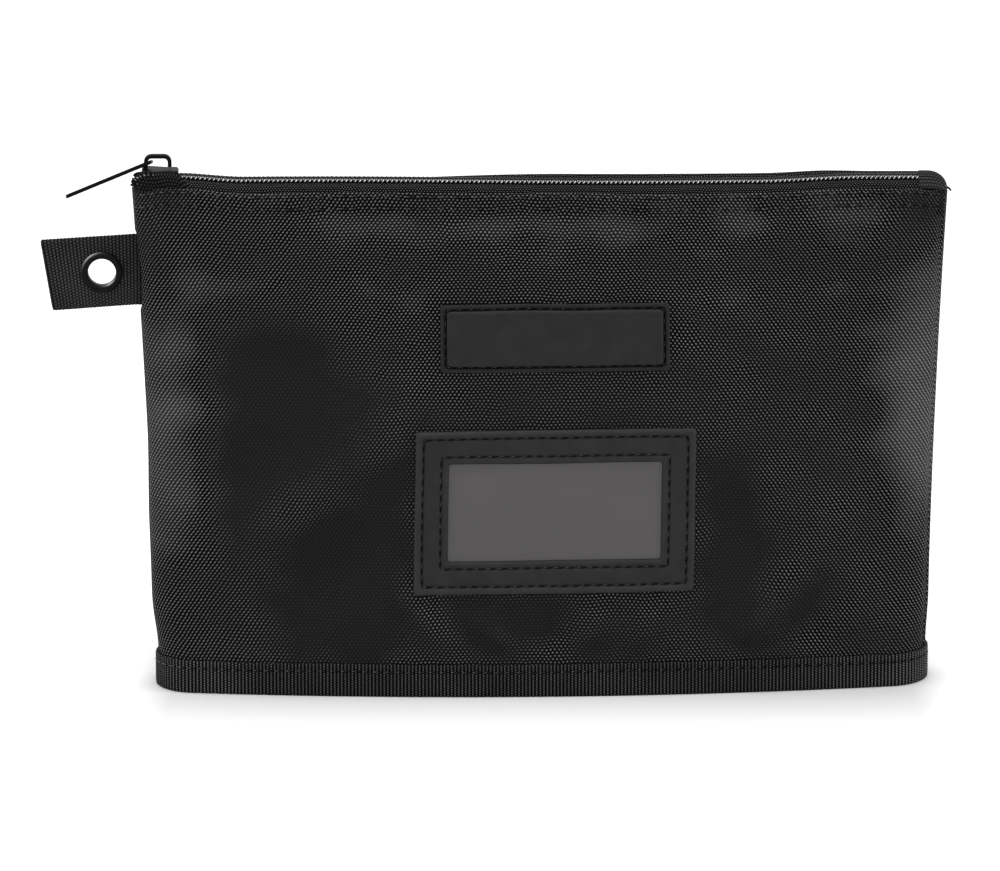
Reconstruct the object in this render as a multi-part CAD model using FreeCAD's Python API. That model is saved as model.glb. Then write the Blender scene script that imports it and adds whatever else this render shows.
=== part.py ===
import FreeCAD, Part
import math
import os

# A zippered tool bag: two fabric panels stand on a boat-shaped base and close under a coil zip.
# Millimetres. The origin is on the floor under the middle of the base,
# +X runs to the right, +Y to the back and +Z up. The front panel faces -Y.

V = FreeCAD.Vector
FRONT = -1
BACK = 1
LEFT = -1
RIGHT = 1

# Bag body
BASE_WIDTH = 300.8
BASE_DEPTH = 52.0
BASE_TIP_RADIUS = 16.0
MOUTH_WIDTH = 316.6
MOUTH_DEPTH = 19.2
MOUTH_BOW = 0.3
PANEL_TOP = 200.3
SIDE_FLARE = 1.35
LOWER_LEVELS = 4
FABRIC = 1.0
HEM_DEPTH = 12.0
LAYER_GAP = 0.15

# Base and its bound seam
BINDING_HEIGHT = 13.2
BINDING_TAPE = 0.9

# Side seams, turned to the inside
SEAM_ALLOWANCE = 10.0
SEAM_THICKNESS = 2.4
SEAM_GAP = 0.4

# Zip tapes
TAPE = 0.6
TAPE_LEG = 11.0
TAPE_RISE = 1.7
TAPE_SLOT = 3.4

# Zip coils
COIL_PITCH = 1.78
COIL_HEIGHT = 2.1
COIL_SPINE = 2.9
COIL_TIP_REACH = 0.8
COIL_MESH_GAP = 0.35
COIL_SPREAD = 2.0
COIL_TURN_RADIUS = 0.8
COIL_TURN_ANGLE = 80.0
COIL_TURN_RIDGES = 5
COIL_RIDGE_ANGLE = 9.0

# Zip slider
RUNNING_GAP = 0.35
SLIDER_LENGTH = 14.4
SLIDER_TIP_INSET = 2.0
SLIDER_STRAIGHT = 5.6
SLIDER_FLARE_LENGTH = 7.0
SLIDER_FLANGE = 0.8
SLIDER_TOP_PLATE = 1.6
SLIDER_BOTTOM_PLATE = 1.0
SLIDER_CORNER = 1.2
SLIDER_EDGE = 0.6
DIVIDER_LENGTH = 3.6
DIVIDER_WIDTH = 1.4
DIVIDER_TIP_WIDTH = 0.2
CROWN_LENGTH = 10.8
CROWN_FRONT_INSET = 0.9
CROWN_HEIGHT = 5.8
CROWN_WIDTH = 2.6
CROWN_BAR = 1.5
CROWN_BEND = 3.0
CROWN_MOUTH = 0.9

# Zip pull
PULL_LENGTH = 36.0
PULL_WIDTH = 6.4
PULL_TIP_WIDTH = 5.6
PULL_THICKNESS = 1.5
PULL_SLOPE = 22.9
PULL_BAR = 1.5
PULL_EYE_LENGTH = 5.6
PULL_EYE_WIDTH = 3.5
PULL_HOLE = 2.6
PULL_HOLE_INSET = 4.0
PULL_EDGE = 0.4
PULL_DISH_LENGTH = 18.0
PULL_DISH_WIDTH = 3.2
PULL_DISH_DEPTH = 0.3
PULL_PIVOT_HEIGHT = 2.7

# Zip end cover at the right
END_COVER_LENGTH = 9.8
END_COVER_WIDTH = 13.2
END_COVER_INSET = 2.9
END_COVER_BASE = 1.3
END_COVER_RIBS = 8
END_COVER_RIB_HEIGHT = 0.45

# Card window on the front panel
CARD_CENTRE_X = 4.7
CARD_CENTRE_Z = 73.6
CARD_FRAME_WIDTH = 110.8
CARD_FRAME_HEIGHT = 66.2
CARD_WINDOW_WIDTH = 83.2
CARD_WINDOW_HEIGHT = 38.4
CARD_FRAME = 1.2
CARD_FILM = 0.3
CARD_FILM_MARGIN = 6.0
CARD_CORNER = 1.2

# Moulded patch above it
PATCH_CENTRE_X = 4.7
PATCH_CENTRE_Z = 142.6
PATCH_WIDTH = 89.6
PATCH_HEIGHT = 27.2
PATCH_THICKNESS = 1.4
PATCH_CORNER = 1.4
PATCH_FIELD_MARGIN = 2.6
PATCH_FIELD_RAISE = 0.8
PATCH_GROOVE_WIDTH = 0.9
PATCH_GROOVE_DEPTH = 0.4

# Hang tab of doubled webbing and its eyelet
TAB_LENGTH = 33.6
TAB_WIDTH = 28.2
TAB_LEVEL = 166.3
TAB_DROOP = 4.0
TAB_END_LEAN = 2.9
WEBBING = 1.4
TAB_STANDOFF = 1.9
TAB_ROOT_CLEARANCE = 0.4
TAB_ROOT_DEPTH = 9.0
EYELET_REACH = 13.0
EYELET_BORE = 10.9
EYELET_WALL = 0.8
EYELET_RIM = 16.4
EYELET_RIM_HEIGHT = 1.3
EYELET_FLARE = 14.8
EYELET_FLARE_HEIGHT = 0.75
EYELET_STRAIGHT = 3.8
EYELET_SEAT = 0.05
EYELET_HOLE_GAP = 0.1
WASHER = 0.5

# Heights and places that follow from the sizes above
MOUTH_TIP_RADIUS = MOUTH_DEPTH / 2 - MOUTH_BOW
HEM_BACK = 2 * FABRIC + LAYER_GAP
COIL_ROOT = COIL_TIP_REACH + COIL_MESH_GAP
TAPE_LOW = PANEL_TOP + TAPE_RISE
TAPE_HIGH = TAPE_LOW + TAPE
COIL_TOP = TAPE_HIGH + COIL_HEIGHT
PLATE_LOW = COIL_TOP + RUNNING_GAP
PLATE_HIGH = PLATE_LOW + SLIDER_TOP_PLATE
LOWER_PLATE_HIGH = TAPE_LOW - RUNNING_GAP
LOWER_PLATE_LOW = LOWER_PLATE_HIGH - SLIDER_BOTTOM_PLATE
SLIDER_FRONT_X = SLIDER_TIP_INSET - MOUTH_WIDTH / 2
SLIDER_REAR_X = SLIDER_FRONT_X + SLIDER_LENGTH
MESH_X = SLIDER_REAR_X - SLIDER_STRAIGHT
PARTED_X = MESH_X - SLIDER_FLARE_LENGTH
TURN_X = SLIDER_FRONT_X - RUNNING_GAP - COIL_PITCH / 2
END_COVER_RIGHT_X = MOUTH_WIDTH / 2 - END_COVER_INSET
END_COVER_LEFT_X = END_COVER_RIGHT_X - END_COVER_LENGTH
CROWN_FRONT_X = SLIDER_FRONT_X + CROWN_FRONT_INSET
PIVOT_X = CROWN_FRONT_X + CROWN_BAR + RUNNING_GAP + PULL_BAR / 2
PIVOT_Z = PLATE_HIGH + PULL_PIVOT_HEIGHT
TAB_THICKNESS = 2 * WEBBING
ROOM = MOUTH_WIDTH + BASE_DEPTH


def half_width(z):
    """Half the bag's width at height z: straight at the base seam, flaring to the mouth."""
    climb = (z - BINDING_HEIGHT) / (PANEL_TOP - BINDING_HEIGHT)
    return (BASE_WIDTH + (MOUTH_WIDTH - BASE_WIDTH) * max(climb, 0.0) ** SIDE_FLARE) / 2


def boat(half_length, half_depth, tip_radius, z):
    """Boat outline at height z: two long arcs that run tangent into round tips."""
    reach = half_length - tip_radius
    bow = half_depth - tip_radius
    centre = (reach ** 2 - bow ** 2) / (2 * bow)
    radius = half_depth + centre
    share = radius / (radius - tip_radius)
    x = reach * share
    y = centre * share - centre
    bisector = math.atan2(y, x - reach) / 2
    mid_x = reach + tip_radius * math.cos(bisector)
    mid_y = tip_radius * math.sin(bisector)
    arcs = []
    for side in (RIGHT, LEFT):
        tip = V(side * half_length, 0, z)
        long_start = V(-side * x, -side * y, z)
        long_end = V(side * x, -side * y, z)
        arcs.append(Part.Arc(long_start, V(0, -side * half_depth, z), long_end))
        arcs.append(Part.Arc(long_end, V(side * mid_x, -side * mid_y, z), tip))
        arcs.append(Part.Arc(tip, V(side * mid_x, side * mid_y, z), V(side * x, side * y, z)))
    return Part.Wire([arc.toShape() for arc in arcs])


def outline(z, grow):
    """The bag's outline at height z, grown outwards by grow."""
    climb = max((z - BINDING_HEIGHT) / (PANEL_TOP - BINDING_HEIGHT), 0.0)
    depth = BASE_DEPTH + (MOUTH_DEPTH - BASE_DEPTH) * climb
    tip = BASE_TIP_RADIUS + (MOUTH_TIP_RADIUS - BASE_TIP_RADIUS) * climb
    return boat(half_width(z) + grow, depth / 2 + grow, tip + grow, z)


def upright(wire, height):
    """Solid that stands on a flat wire."""
    return Part.Face(wire).extrude(V(0, 0, height))


def base_block(grow, low, high):
    """Upright block of the base outline between two heights."""
    block = upright(outline(0, grow), high - low)
    block.translate(V(0, 0, low))
    return block


def mouth_block(grow, low, high):
    """Upright block of the mouth outline between two heights."""
    block = upright(outline(PANEL_TOP, grow), high - low)
    block.translate(V(0, 0, low - PANEL_TOP))
    return block


def body_levels():
    """Heights of the outlines that the body runs through, two of them at the hang tab's slot."""
    slot = tab_root_block(LAYER_GAP).BoundBox
    step = (slot.ZMin - BINDING_HEIGHT) / LOWER_LEVELS
    return [BINDING_HEIGHT + step * n for n in range(LOWER_LEVELS)] + [slot.ZMin, slot.ZMax, PANEL_TOP]


def bag_form(grow):
    """The whole bag, grown by grow: upright beside the binding, then drawn in to the mouth."""
    body = Part.makeLoft([outline(z, grow) for z in body_levels()], True, True)
    return base_block(grow, 0, BINDING_HEIGHT).fuse(body)


def slab(low, high):
    """Everything between two heights."""
    return Part.makeBox(2 * ROOM, 2 * ROOM, high - low, V(-ROOM, -ROOM, low))


def half(shape, side):
    """The front or the back half of a shape."""
    low = -ROOM if side == FRONT else 0
    return shape.common(Part.makeBox(2 * ROOM, ROOM, 2 * ROOM, V(-ROOM, low, -ROOM)))


def box_between(low, high):
    """Box from its lowest to its highest corner."""
    size = high - low
    return Part.makeBox(size.x, size.y, size.z, low)


def polygon(points, direction):
    """Flat outline through the points, thickened along direction."""
    return Part.Face(Part.makePolygon(points + points[:1])).extrude(direction)


def one_solid(shape):
    """A clean single solid out of a boolean result."""
    return shape.removeSplitter().Solids[0]


def tab_root_block(room):
    """The sewn-in stretch of the hang tab, grown by room."""
    axis_x = tab_axis_x()
    start = axis_x + TAB_THICKNESS / 2 + TAB_ROOT_CLEARANCE
    low = V(start, -TAB_THICKNESS / 2 - room, TAB_LEVEL - TAB_WIDTH / 2 - room)
    high = V(start + TAB_ROOT_DEPTH + room, TAB_THICKNESS / 2 + room, TAB_LEVEL + TAB_WIDTH / 2 + room)
    return box_between(low, high)


def tab_axis_x():
    """The line along the left seam that the hang tab folds about."""
    return -half_width(TAB_LEVEL + TAB_WIDTH / 2) - TAB_STANDOFF


def panel(side):
    """Front or back panel: one layer of fabric, doubled by the turned hem at the mouth."""
    low = BINDING_TAPE + LAYER_GAP
    hem_start = PANEL_TOP - HEM_DEPTH
    below_hem = bag_form(-FABRIC).common(slab(0, hem_start))
    hollow = below_hem.fuse(bag_form(-2 * FABRIC))
    tube = bag_form(0).common(slab(low, PANEL_TOP)).cut(hollow)
    return one_solid(half(tube, side).cut(tab_root_block(LAYER_GAP)))


def base_panel():
    """Base panel: a flat floor that climbs the bound seam's inner side and turns down into it."""
    skirt_out = -FABRIC - LAYER_GAP
    skirt_in = skirt_out - FABRIC
    wall_out = skirt_in - BINDING_TAPE - 2 * LAYER_GAP
    fold_low = BINDING_HEIGHT + LAYER_GAP
    fold_high = fold_low + FABRIC
    low = BINDING_TAPE + LAYER_GAP
    skirt = base_block(skirt_out, low, fold_high).cut(base_block(skirt_in, low, fold_low))
    tray = base_block(wall_out, 0, fold_high)
    return one_solid(skirt.fuse(tray).cut(base_block(wall_out - FABRIC, FABRIC, fold_high)))


def base_binding():
    """Binding tape folded up round the bottom edges of both panels and the base."""
    inner_face = -2 * (FABRIC + LAYER_GAP)
    band = base_block(LAYER_GAP + BINDING_TAPE, 0, BINDING_HEIGHT)
    band = band.cut(base_block(inner_face - BINDING_TAPE, 0, BINDING_HEIGHT))
    channel = base_block(LAYER_GAP, BINDING_TAPE, BINDING_HEIGHT)
    channel = channel.cut(base_block(inner_face, BINDING_TAPE, BINDING_HEIGHT))
    return one_solid(band.cut(channel))


def side_seam(side):
    """Seam allowances of both panels, sewn together and turned to the inside."""
    low = BINDING_HEIGHT + FABRIC + 2 * SEAM_GAP
    high = PANEL_TOP - HEM_DEPTH - SEAM_GAP
    heights = [low] + [z for z in body_levels() if low < z < high] + [high]
    outer = [V(side * (half_width(z) - FABRIC - SEAM_GAP), -SEAM_THICKNESS / 2, z) for z in heights]
    inner = [point - V(side * SEAM_ALLOWANCE, 0, 0) for point in reversed(outer)]
    seam = polygon(outer + inner, V(0, SEAM_THICKNESS, 0))
    return one_solid(seam.cut(tab_root_block(LAYER_GAP)))


def zip_tape(side):
    """Zip tape: a leg sewn behind the hem, and the flange that carries the coil."""
    leg = mouth_block(-HEM_BACK, PANEL_TOP, TAPE_HIGH)
    leg = leg.cut(mouth_block(-HEM_BACK - TAPE, PANEL_TOP, TAPE_LOW))
    hidden = bag_form(-HEM_BACK).cut(bag_form(-HEM_BACK - TAPE))
    hidden = hidden.common(slab(PANEL_TOP - TAPE_LEG, PANEL_TOP))
    end = mouth_block(0, TAPE_LOW, TAPE_HIGH)
    end = end.common(box_between(V(TURN_X, -ROOM, TAPE_LOW), V(PARTED_X, ROOM, TAPE_HIGH)))
    tape = half(leg.fuse([hidden, end]), side)
    reach = slider_half_width(PARTED_X) + RUNNING_GAP
    pocket_low = V(-ROOM, -reach, LOWER_PLATE_LOW - RUNNING_GAP)
    pocket = box_between(pocket_low, V(SLIDER_REAR_X + RUNNING_GAP, reach, TAPE_LOW))
    slot = box_between(V(-ROOM, -TAPE_SLOT / 2, 0), V(ROOM, TAPE_SLOT / 2, TAPE_HIGH))
    return one_solid(tape.cut(pocket).cut(slot))


def spread(x):
    """How far each coil stands off the centre line at x, where the slider parts the two."""
    share = (MESH_X - x) / SLIDER_FLARE_LENGTH
    return COIL_SPREAD * min(max(share, 0.0), 1.0)


def zip_coil(side):
    """One coil of the zip: a row of pointed turns on a spine, half a pitch out of step with the other."""
    start = TURN_X + (COIL_PITCH / 2 if side == BACK else 0)
    count = int((END_COVER_LEFT_X - start) / COIL_PITCH)
    inner = [(TURN_X, COIL_ROOT)]
    for n in range(count):
        root_x = start + n * COIL_PITCH
        inner += [(root_x, COIL_ROOT), (root_x + COIL_PITCH / 2, -COIL_TIP_REACH)]
    inner += [(start + count * COIL_PITCH, COIL_ROOT), (END_COVER_LEFT_X, COIL_ROOT)]
    inner = [point for n, point in enumerate(inner) if point not in inner[:n]]
    outer = [(x, COIL_SPINE) for x in (END_COVER_LEFT_X, MESH_X, PARTED_X, TURN_X)]
    points = [V(x, side * (out + spread(x)), TAPE_HIGH) for x, out in inner + outer]
    return one_solid(polygon(points, V(0, 0, COIL_HEIGHT)).fuse(coil_end(side)))


def coil_end(side):
    """The coil's left end, turned down over the bag's corner."""
    axis = V(TURN_X, 0, TAPE_HIGH - COIL_TURN_RADIUS)
    strip = turned_strip(axis, side, COIL_ROOT, COIL_TURN_ANGLE)
    ridges = []
    for n in range(COIL_TURN_RIDGES):
        ridge = turned_strip(axis, side, -COIL_TIP_REACH, COIL_RIDGE_ANGLE)
        turn = (COIL_TURN_ANGLE - COIL_RIDGE_ANGLE) * (n + 1) / COIL_TURN_RIDGES
        ridge.rotate(axis, V(0, -1, 0), turn)
        ridges.append(ridge)
    return strip.fuse(ridges)


def turned_strip(axis, side, inner, angle):
    """A strip of coil section swept down about the turn's axis."""
    near = side * (inner + COIL_SPREAD)
    far = side * (COIL_SPINE + COIL_SPREAD)
    lower = [V(TURN_X, near, TAPE_HIGH), V(TURN_X, far, TAPE_HIGH)]
    corners = lower + [V(TURN_X, far, COIL_TOP), V(TURN_X, near, COIL_TOP)]
    section = Part.Face(Part.makePolygon(corners + corners[:1]))
    return section.revolve(axis, V(0, -1, 0), angle)


def zip_end_cover():
    """Ribbed tape sewn across the zip's right end, rolling down at its edge."""
    rib = END_COVER_WIDTH / END_COVER_RIBS
    base_high = TAPE_HIGH + END_COVER_BASE
    x = END_COVER_LEFT_X
    left_y = -END_COVER_WIDTH / 2
    right_y = END_COVER_WIDTH / 2
    edges = [
        Part.makeLine(V(x, left_y, base_high), V(x, left_y, TAPE_HIGH)),
        Part.makeLine(V(x, left_y, TAPE_HIGH), V(x, right_y, TAPE_HIGH)),
        Part.makeLine(V(x, right_y, TAPE_HIGH), V(x, right_y, base_high)),
    ]
    for n in range(END_COVER_RIBS):
        y = right_y - n * rib
        crest = V(x, y - rib / 2, base_high + END_COVER_RIB_HEIGHT)
        edges.append(Part.Arc(V(x, y, base_high), crest, V(x, y - rib, base_high)).toShape())
    ribbed = Part.Face(Part.Wire(edges)).extrude(V(END_COVER_LENGTH, 0, 0))
    roll = END_COVER_BASE + END_COVER_RIB_HEIGHT
    roll_start = V(END_COVER_RIGHT_X - roll, -ROOM, TAPE_HIGH)
    corner = box_between(roll_start, V(END_COVER_RIGHT_X, ROOM, COIL_TOP))
    round_end = Part.makeCylinder(roll, 2 * ROOM, roll_start, V(0, 1, 0))
    return one_solid(ribbed.cut(corner.cut(round_end)).common(mouth_block(0, TAPE_HIGH, COIL_TOP)))


def slider_half_width(x):
    """Half the slider's outer width at x."""
    return COIL_SPINE + spread(x) + RUNNING_GAP + SLIDER_FLANGE


def slider_plan(inset, low, high):
    """The slider's plan, flared towards its front, as a block between two heights."""
    stations = (SLIDER_REAR_X, MESH_X, PARTED_X, SLIDER_FRONT_X)
    near = [V(x, inset - slider_half_width(x), low) for x in stations]
    far = [V(point.x, -point.y, low) for point in reversed(near)]
    return polygon(near + far, V(0, 0, high - low))


def rounded_corners(block, radius):
    """A block with its upright corners rounded."""
    return block.makeFillet(radius, [edge for edge in block.Edges if is_corner(edge, block)])


def is_corner(edge, block):
    """True for an upright edge at either end of the block."""
    box = block.BoundBox
    middle = edge.CenterOfMass
    at_end = min(abs(middle.x - box.XMin), abs(middle.x - box.XMax)) < LAYER_GAP
    heading = edge.tangentAt(edge.FirstParameter)
    return at_end and abs(heading.z) > abs(heading.x)


def top_edges(block):
    """The edges round the top face of a block."""
    return max(block.Faces, key=lambda face: face.CenterOfMass.z).Edges


def zip_slider():
    """Die-cast slider: two plates joined by the divider, side flanges, and a hooked crown."""
    plate = rounded_corners(slider_plan(0, PLATE_LOW, PLATE_HIGH), SLIDER_CORNER)
    plate = plate.makeChamfer(SLIDER_EDGE, top_edges(plate))
    lower = rounded_corners(slider_plan(0, LOWER_PLATE_LOW, LOWER_PLATE_HIGH), SLIDER_CORNER)
    flange_low = TAPE_HIGH + RUNNING_GAP
    flanges = rounded_corners(slider_plan(0, flange_low, PLATE_LOW), SLIDER_CORNER)
    channel = slider_plan(SLIDER_FLANGE, flange_low, PLATE_LOW)
    throat = box_between(V(SLIDER_FRONT_X, -COIL_SPINE - COIL_SPREAD, flange_low),
                         V(SLIDER_FRONT_X + SLIDER_CORNER, COIL_SPINE + COIL_SPREAD, PLATE_LOW))
    flanges = flanges.cut(channel.fuse(throat))
    return one_solid(plate.fuse([lower, flanges, divider(), crown()]))


def divider():
    """Wedge between the plates that parts the two coils."""
    front = SLIDER_FRONT_X + SLIDER_EDGE
    wide = min(PARTED_X, front + DIVIDER_LENGTH)
    tip = front + DIVIDER_LENGTH
    half_wide = DIVIDER_WIDTH / 2
    half_tip = DIVIDER_TIP_WIDTH / 2
    near = [V(front, -half_wide, LOWER_PLATE_HIGH), V(wide, -half_wide, LOWER_PLATE_HIGH),
            V(tip, -half_tip, LOWER_PLATE_HIGH)]
    far = [V(point.x, -point.y, point.z) for point in reversed(near)]
    return polygon(near + far, V(0, 0, PLATE_LOW - LOWER_PLATE_HIGH))


def arch(inset, low):
    """Upright block with two rounded upper corners, inset all round from the crown's outside."""
    left = CROWN_FRONT_X + inset
    right = CROWN_FRONT_X + CROWN_LENGTH - inset
    high = PLATE_HIGH + CROWN_HEIGHT - inset
    block = box_between(V(left, -CROWN_WIDTH / 2, low), V(right, CROWN_WIDTH / 2, high))
    corners = [edge for edge in top_edges(block) if abs(edge.tangentAt(0).y) > abs(edge.tangentAt(0).x)]
    return block.makeFillet(CROWN_BEND - inset, corners)


def crown():
    """Hooked crown that holds the pull, open at its rear foot."""
    bridge = arch(0, PLATE_HIGH - SLIDER_EDGE).cut(arch(CROWN_BAR, PLATE_HIGH))
    rear = CROWN_FRONT_X + CROWN_LENGTH
    opening = box_between(V(rear - 2 * CROWN_BAR, -CROWN_WIDTH, PLATE_HIGH - SLIDER_EDGE),
                          V(rear, CROWN_WIDTH, PLATE_HIGH + CROWN_MOUTH))
    return bridge.cut(opening)


def zip_pull():
    """Flat pull: a round bar across the eye, a dished shank and a cord hole near the tip."""
    low = -PULL_THICKNESS / 2
    half_wide = PULL_WIDTH / 2
    half_tip = PULL_TIP_WIDTH / 2
    shank_end = PULL_LENGTH - half_tip
    shank = polygon([V(0, -half_wide, low), V(0, half_wide, low), V(-shank_end, half_tip, low),
                     V(-shank_end, -half_tip, low)], V(0, 0, PULL_THICKNESS))
    tip = Part.makeCylinder(half_tip, PULL_THICKNESS, V(-shank_end, 0, low))
    blade = one_solid(shank.fuse(tip))
    blade = blade.makeChamfer(PULL_EDGE, top_edges(blade))
    hole = Part.makeCylinder(PULL_HOLE / 2, PULL_THICKNESS, V(PULL_HOLE_INSET - PULL_LENGTH, 0, low))
    eye = box_between(V(-PULL_EYE_LENGTH, -PULL_EYE_WIDTH / 2, low), V(0, PULL_EYE_WIDTH / 2, -low))
    bar = Part.makeCylinder(PULL_BAR / 2, PULL_WIDTH, V(0, -half_wide, 0), V(0, 1, 0))
    pull = blade.cut(hole.fuse([eye, pull_dish()])).fuse(bar)
    pull.rotate(V(0, 0, 0), V(0, -1, 0), PULL_SLOPE)
    pull.translate(V(PIVOT_X, 0, PIVOT_Z))
    return one_solid(pull)


def pull_dish():
    """Shallow thumb recess in the upper face of the pull."""
    radius = PULL_DISH_WIDTH / 2
    run = PULL_DISH_LENGTH - PULL_DISH_WIDTH
    floor = PULL_THICKNESS / 2 - PULL_DISH_DEPTH
    near = -(PULL_EYE_LENGTH + PULL_LENGTH - PULL_HOLE_INSET) / 2 + run / 2
    middle = box_between(V(near - run, -radius, floor), V(near, radius, PULL_THICKNESS / 2))
    ends = [Part.makeCylinder(radius, PULL_DISH_DEPTH, V(x, 0, floor)) for x in (near - run, near)]
    return middle.fuse(ends)


def patch_outline(centre_x, centre_z, width, height):
    """Rectangle on the front, as a block that reaches from the middle plane outwards."""
    low = V(centre_x - width / 2, -ROOM, centre_z - height / 2)
    return box_between(low, V(centre_x + width / 2, 0, centre_z + height / 2))


def rounded_patch(block, radius):
    """A patch outline with its four corners rounded."""
    return block.makeFillet(radius, [edge for edge in block.Edges if abs(edge.tangentAt(0).y) > FABRIC / 2])


def skin(inner, outer):
    """A layer that lies over the panels between two distances from their face."""
    return bag_form(outer).cut(bag_form(inner))


def card_outline(margin):
    """The card window's opening, widened by margin on all sides."""
    return patch_outline(CARD_CENTRE_X, CARD_CENTRE_Z, CARD_WINDOW_WIDTH + 2 * margin,
                         CARD_WINDOW_HEIGHT + 2 * margin)


def card_film():
    """Clear film of the card pocket, caught under the frame on all sides."""
    return one_solid(card_outline(CARD_FILM_MARGIN).common(skin(LAYER_GAP, LAYER_GAP + CARD_FILM)))


def card_frame():
    """Frame of the card pocket, sewn to the front panel over the film."""
    low = 2 * LAYER_GAP + CARD_FILM
    sheet = patch_outline(CARD_CENTRE_X, CARD_CENTRE_Z, CARD_FRAME_WIDTH, CARD_FRAME_HEIGHT)
    ring = rounded_patch(sheet, CARD_CORNER).cut(card_outline(0))
    return one_solid(ring.common(skin(low, low + CARD_FRAME)))


def patch_field(margin):
    """The moulded patch's outline, drawn in by margin on all sides."""
    return patch_outline(PATCH_CENTRE_X, PATCH_CENTRE_Z, PATCH_WIDTH - 2 * margin,
                         PATCH_HEIGHT - 2 * margin)


def moulded_patch():
    """Moulded patch: a sewn rim with a groove for the stitches, round a raised plain field."""
    top = LAYER_GAP + PATCH_THICKNESS
    plate = rounded_patch(patch_field(0), PATCH_CORNER)
    field = patch_field(PATCH_FIELD_MARGIN)
    groove = patch_field(PATCH_FIELD_MARGIN - PATCH_GROOVE_WIDTH).cut(field)
    rim = plate.common(skin(LAYER_GAP, top)).cut(groove.common(skin(top - PATCH_GROOVE_DEPTH, top)))
    return one_solid(rim.fuse(field.common(skin(top, top + PATCH_FIELD_RAISE))))


def tab_point(along, across):
    """A point on the drooping tab: along its length from the seam, across from its middle line."""
    droop = math.radians(TAB_DROOP)
    return V(tab_axis_x() - along * math.cos(droop), 0, TAB_LEVEL + across - along * math.sin(droop))


def hang_tab():
    """Webbing folded double, rounded along the line that it folds about at the seam."""
    lean = TAB_WIDTH / 2 * math.tan(math.radians(TAB_DROOP + TAB_END_LEAN))
    root = [tab_point(0, TAB_WIDTH / 2), tab_point(0, -TAB_WIDTH / 2)]
    end = [tab_point(TAB_LENGTH - lean, -TAB_WIDTH / 2), tab_point(TAB_LENGTH + lean, TAB_WIDTH / 2)]
    down = V(0, -TAB_THICKNESS / 2, 0)
    slab_shape = polygon([point + down for point in root + end], V(0, TAB_THICKNESS, 0))
    hinge_edge = Part.makeCylinder(TAB_THICKNESS / 2, TAB_WIDTH, root[1])
    bore = EYELET_BORE / 2 + EYELET_WALL + EYELET_HOLE_GAP
    hole = Part.makeCylinder(bore, TAB_THICKNESS, eyelet_centre() + down, V(0, 1, 0))
    return one_solid(slab_shape.fuse(hinge_edge).cut(hole))


def eyelet_centre():
    """Middle of the eyelet, in the tab's middle plane."""
    return tab_point(EYELET_REACH, 0)


def turned(corners):
    """Ring turned from a closed outline of (radius, depth) corners about the eyelet's axis."""
    points = [V(radius, depth, 0) for radius, depth in corners]
    ring = Part.Face(Part.makePolygon(points + points[:1])).revolve(V(0, 0, 0), V(0, 1, 0), 360)
    ring.translate(eyelet_centre())
    return ring.Solids[0]


def eyelet():
    """Pressed eyelet: a rolled rim in front, the barrel through the webbing, and a flare behind."""
    bore = EYELET_BORE / 2
    barrel = bore + EYELET_WALL
    rim = EYELET_RIM / 2
    flare = EYELET_FLARE / 2
    seat = -TAB_THICKNESS / 2 - EYELET_SEAT
    crest = seat - EYELET_RIM_HEIGHT
    back_seat = TAB_THICKNESS / 2 + WASHER + 2 * EYELET_SEAT
    back_crest = back_seat + EYELET_FLARE_HEIGHT
    half_straight = EYELET_STRAIGHT / 2
    rim_middle = (bore + rim) / 2
    flare_middle = (bore + flare) / 2
    bend = 1 - math.cos(math.radians(45))
    corners = [
        (bore, -half_straight),
        (bore, half_straight),
        (flare_middle, back_crest),
        (flare, back_seat),
        (barrel, back_seat),
        (barrel, seat),
        (rim, seat),
        (rim - bend * (rim - rim_middle), crest + bend * EYELET_RIM_HEIGHT),
        (rim_middle, crest),
    ]
    return turned(corners)


def eyelet_washer():
    """Flat washer that the eyelet's barrel is spread over at the back of the tab."""
    inner = EYELET_BORE / 2 + EYELET_WALL + EYELET_HOLE_GAP
    seat = TAB_THICKNESS / 2 + EYELET_SEAT
    outer = EYELET_RIM / 2
    return turned([(inner, seat), (outer, seat), (outer, seat + WASHER), (inner, seat + WASHER)])


NODES = {
    "front_panel": panel(FRONT),
    "back_panel": panel(BACK),
    "base_panel": base_panel(),
    "base_binding": base_binding(),
    "side_seam_left": side_seam(LEFT),
    "side_seam_right": side_seam(RIGHT),
    "zip_tape_front": zip_tape(FRONT),
    "zip_tape_back": zip_tape(BACK),
    "zip_coil_front": zip_coil(FRONT),
    "zip_coil_back": zip_coil(BACK),
    "zip_end_cover": zip_end_cover(),
    "zip_slider": zip_slider(),
    "zip_pull": zip_pull(),
    "card_film": card_film(),
    "card_frame": card_frame(),
    "moulded_patch": moulded_patch(),
    "hang_tab_root": tab_root_block(0),
    "hang_tab": hang_tab(),
    "eyelet": eyelet(),
    "eyelet_washer": eyelet_washer(),
}

os.makedirs("parts", exist_ok=True)
for name, shape in NODES.items():
    shape.exportStep("parts/" + name + ".step")
    print(name, "valid" if shape.isValid() else "NOT VALID", len(shape.Solids), round(shape.Volume, 1))
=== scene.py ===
import bisect
import bpy
import math
from mathutils import Matrix, Vector, noise


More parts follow.
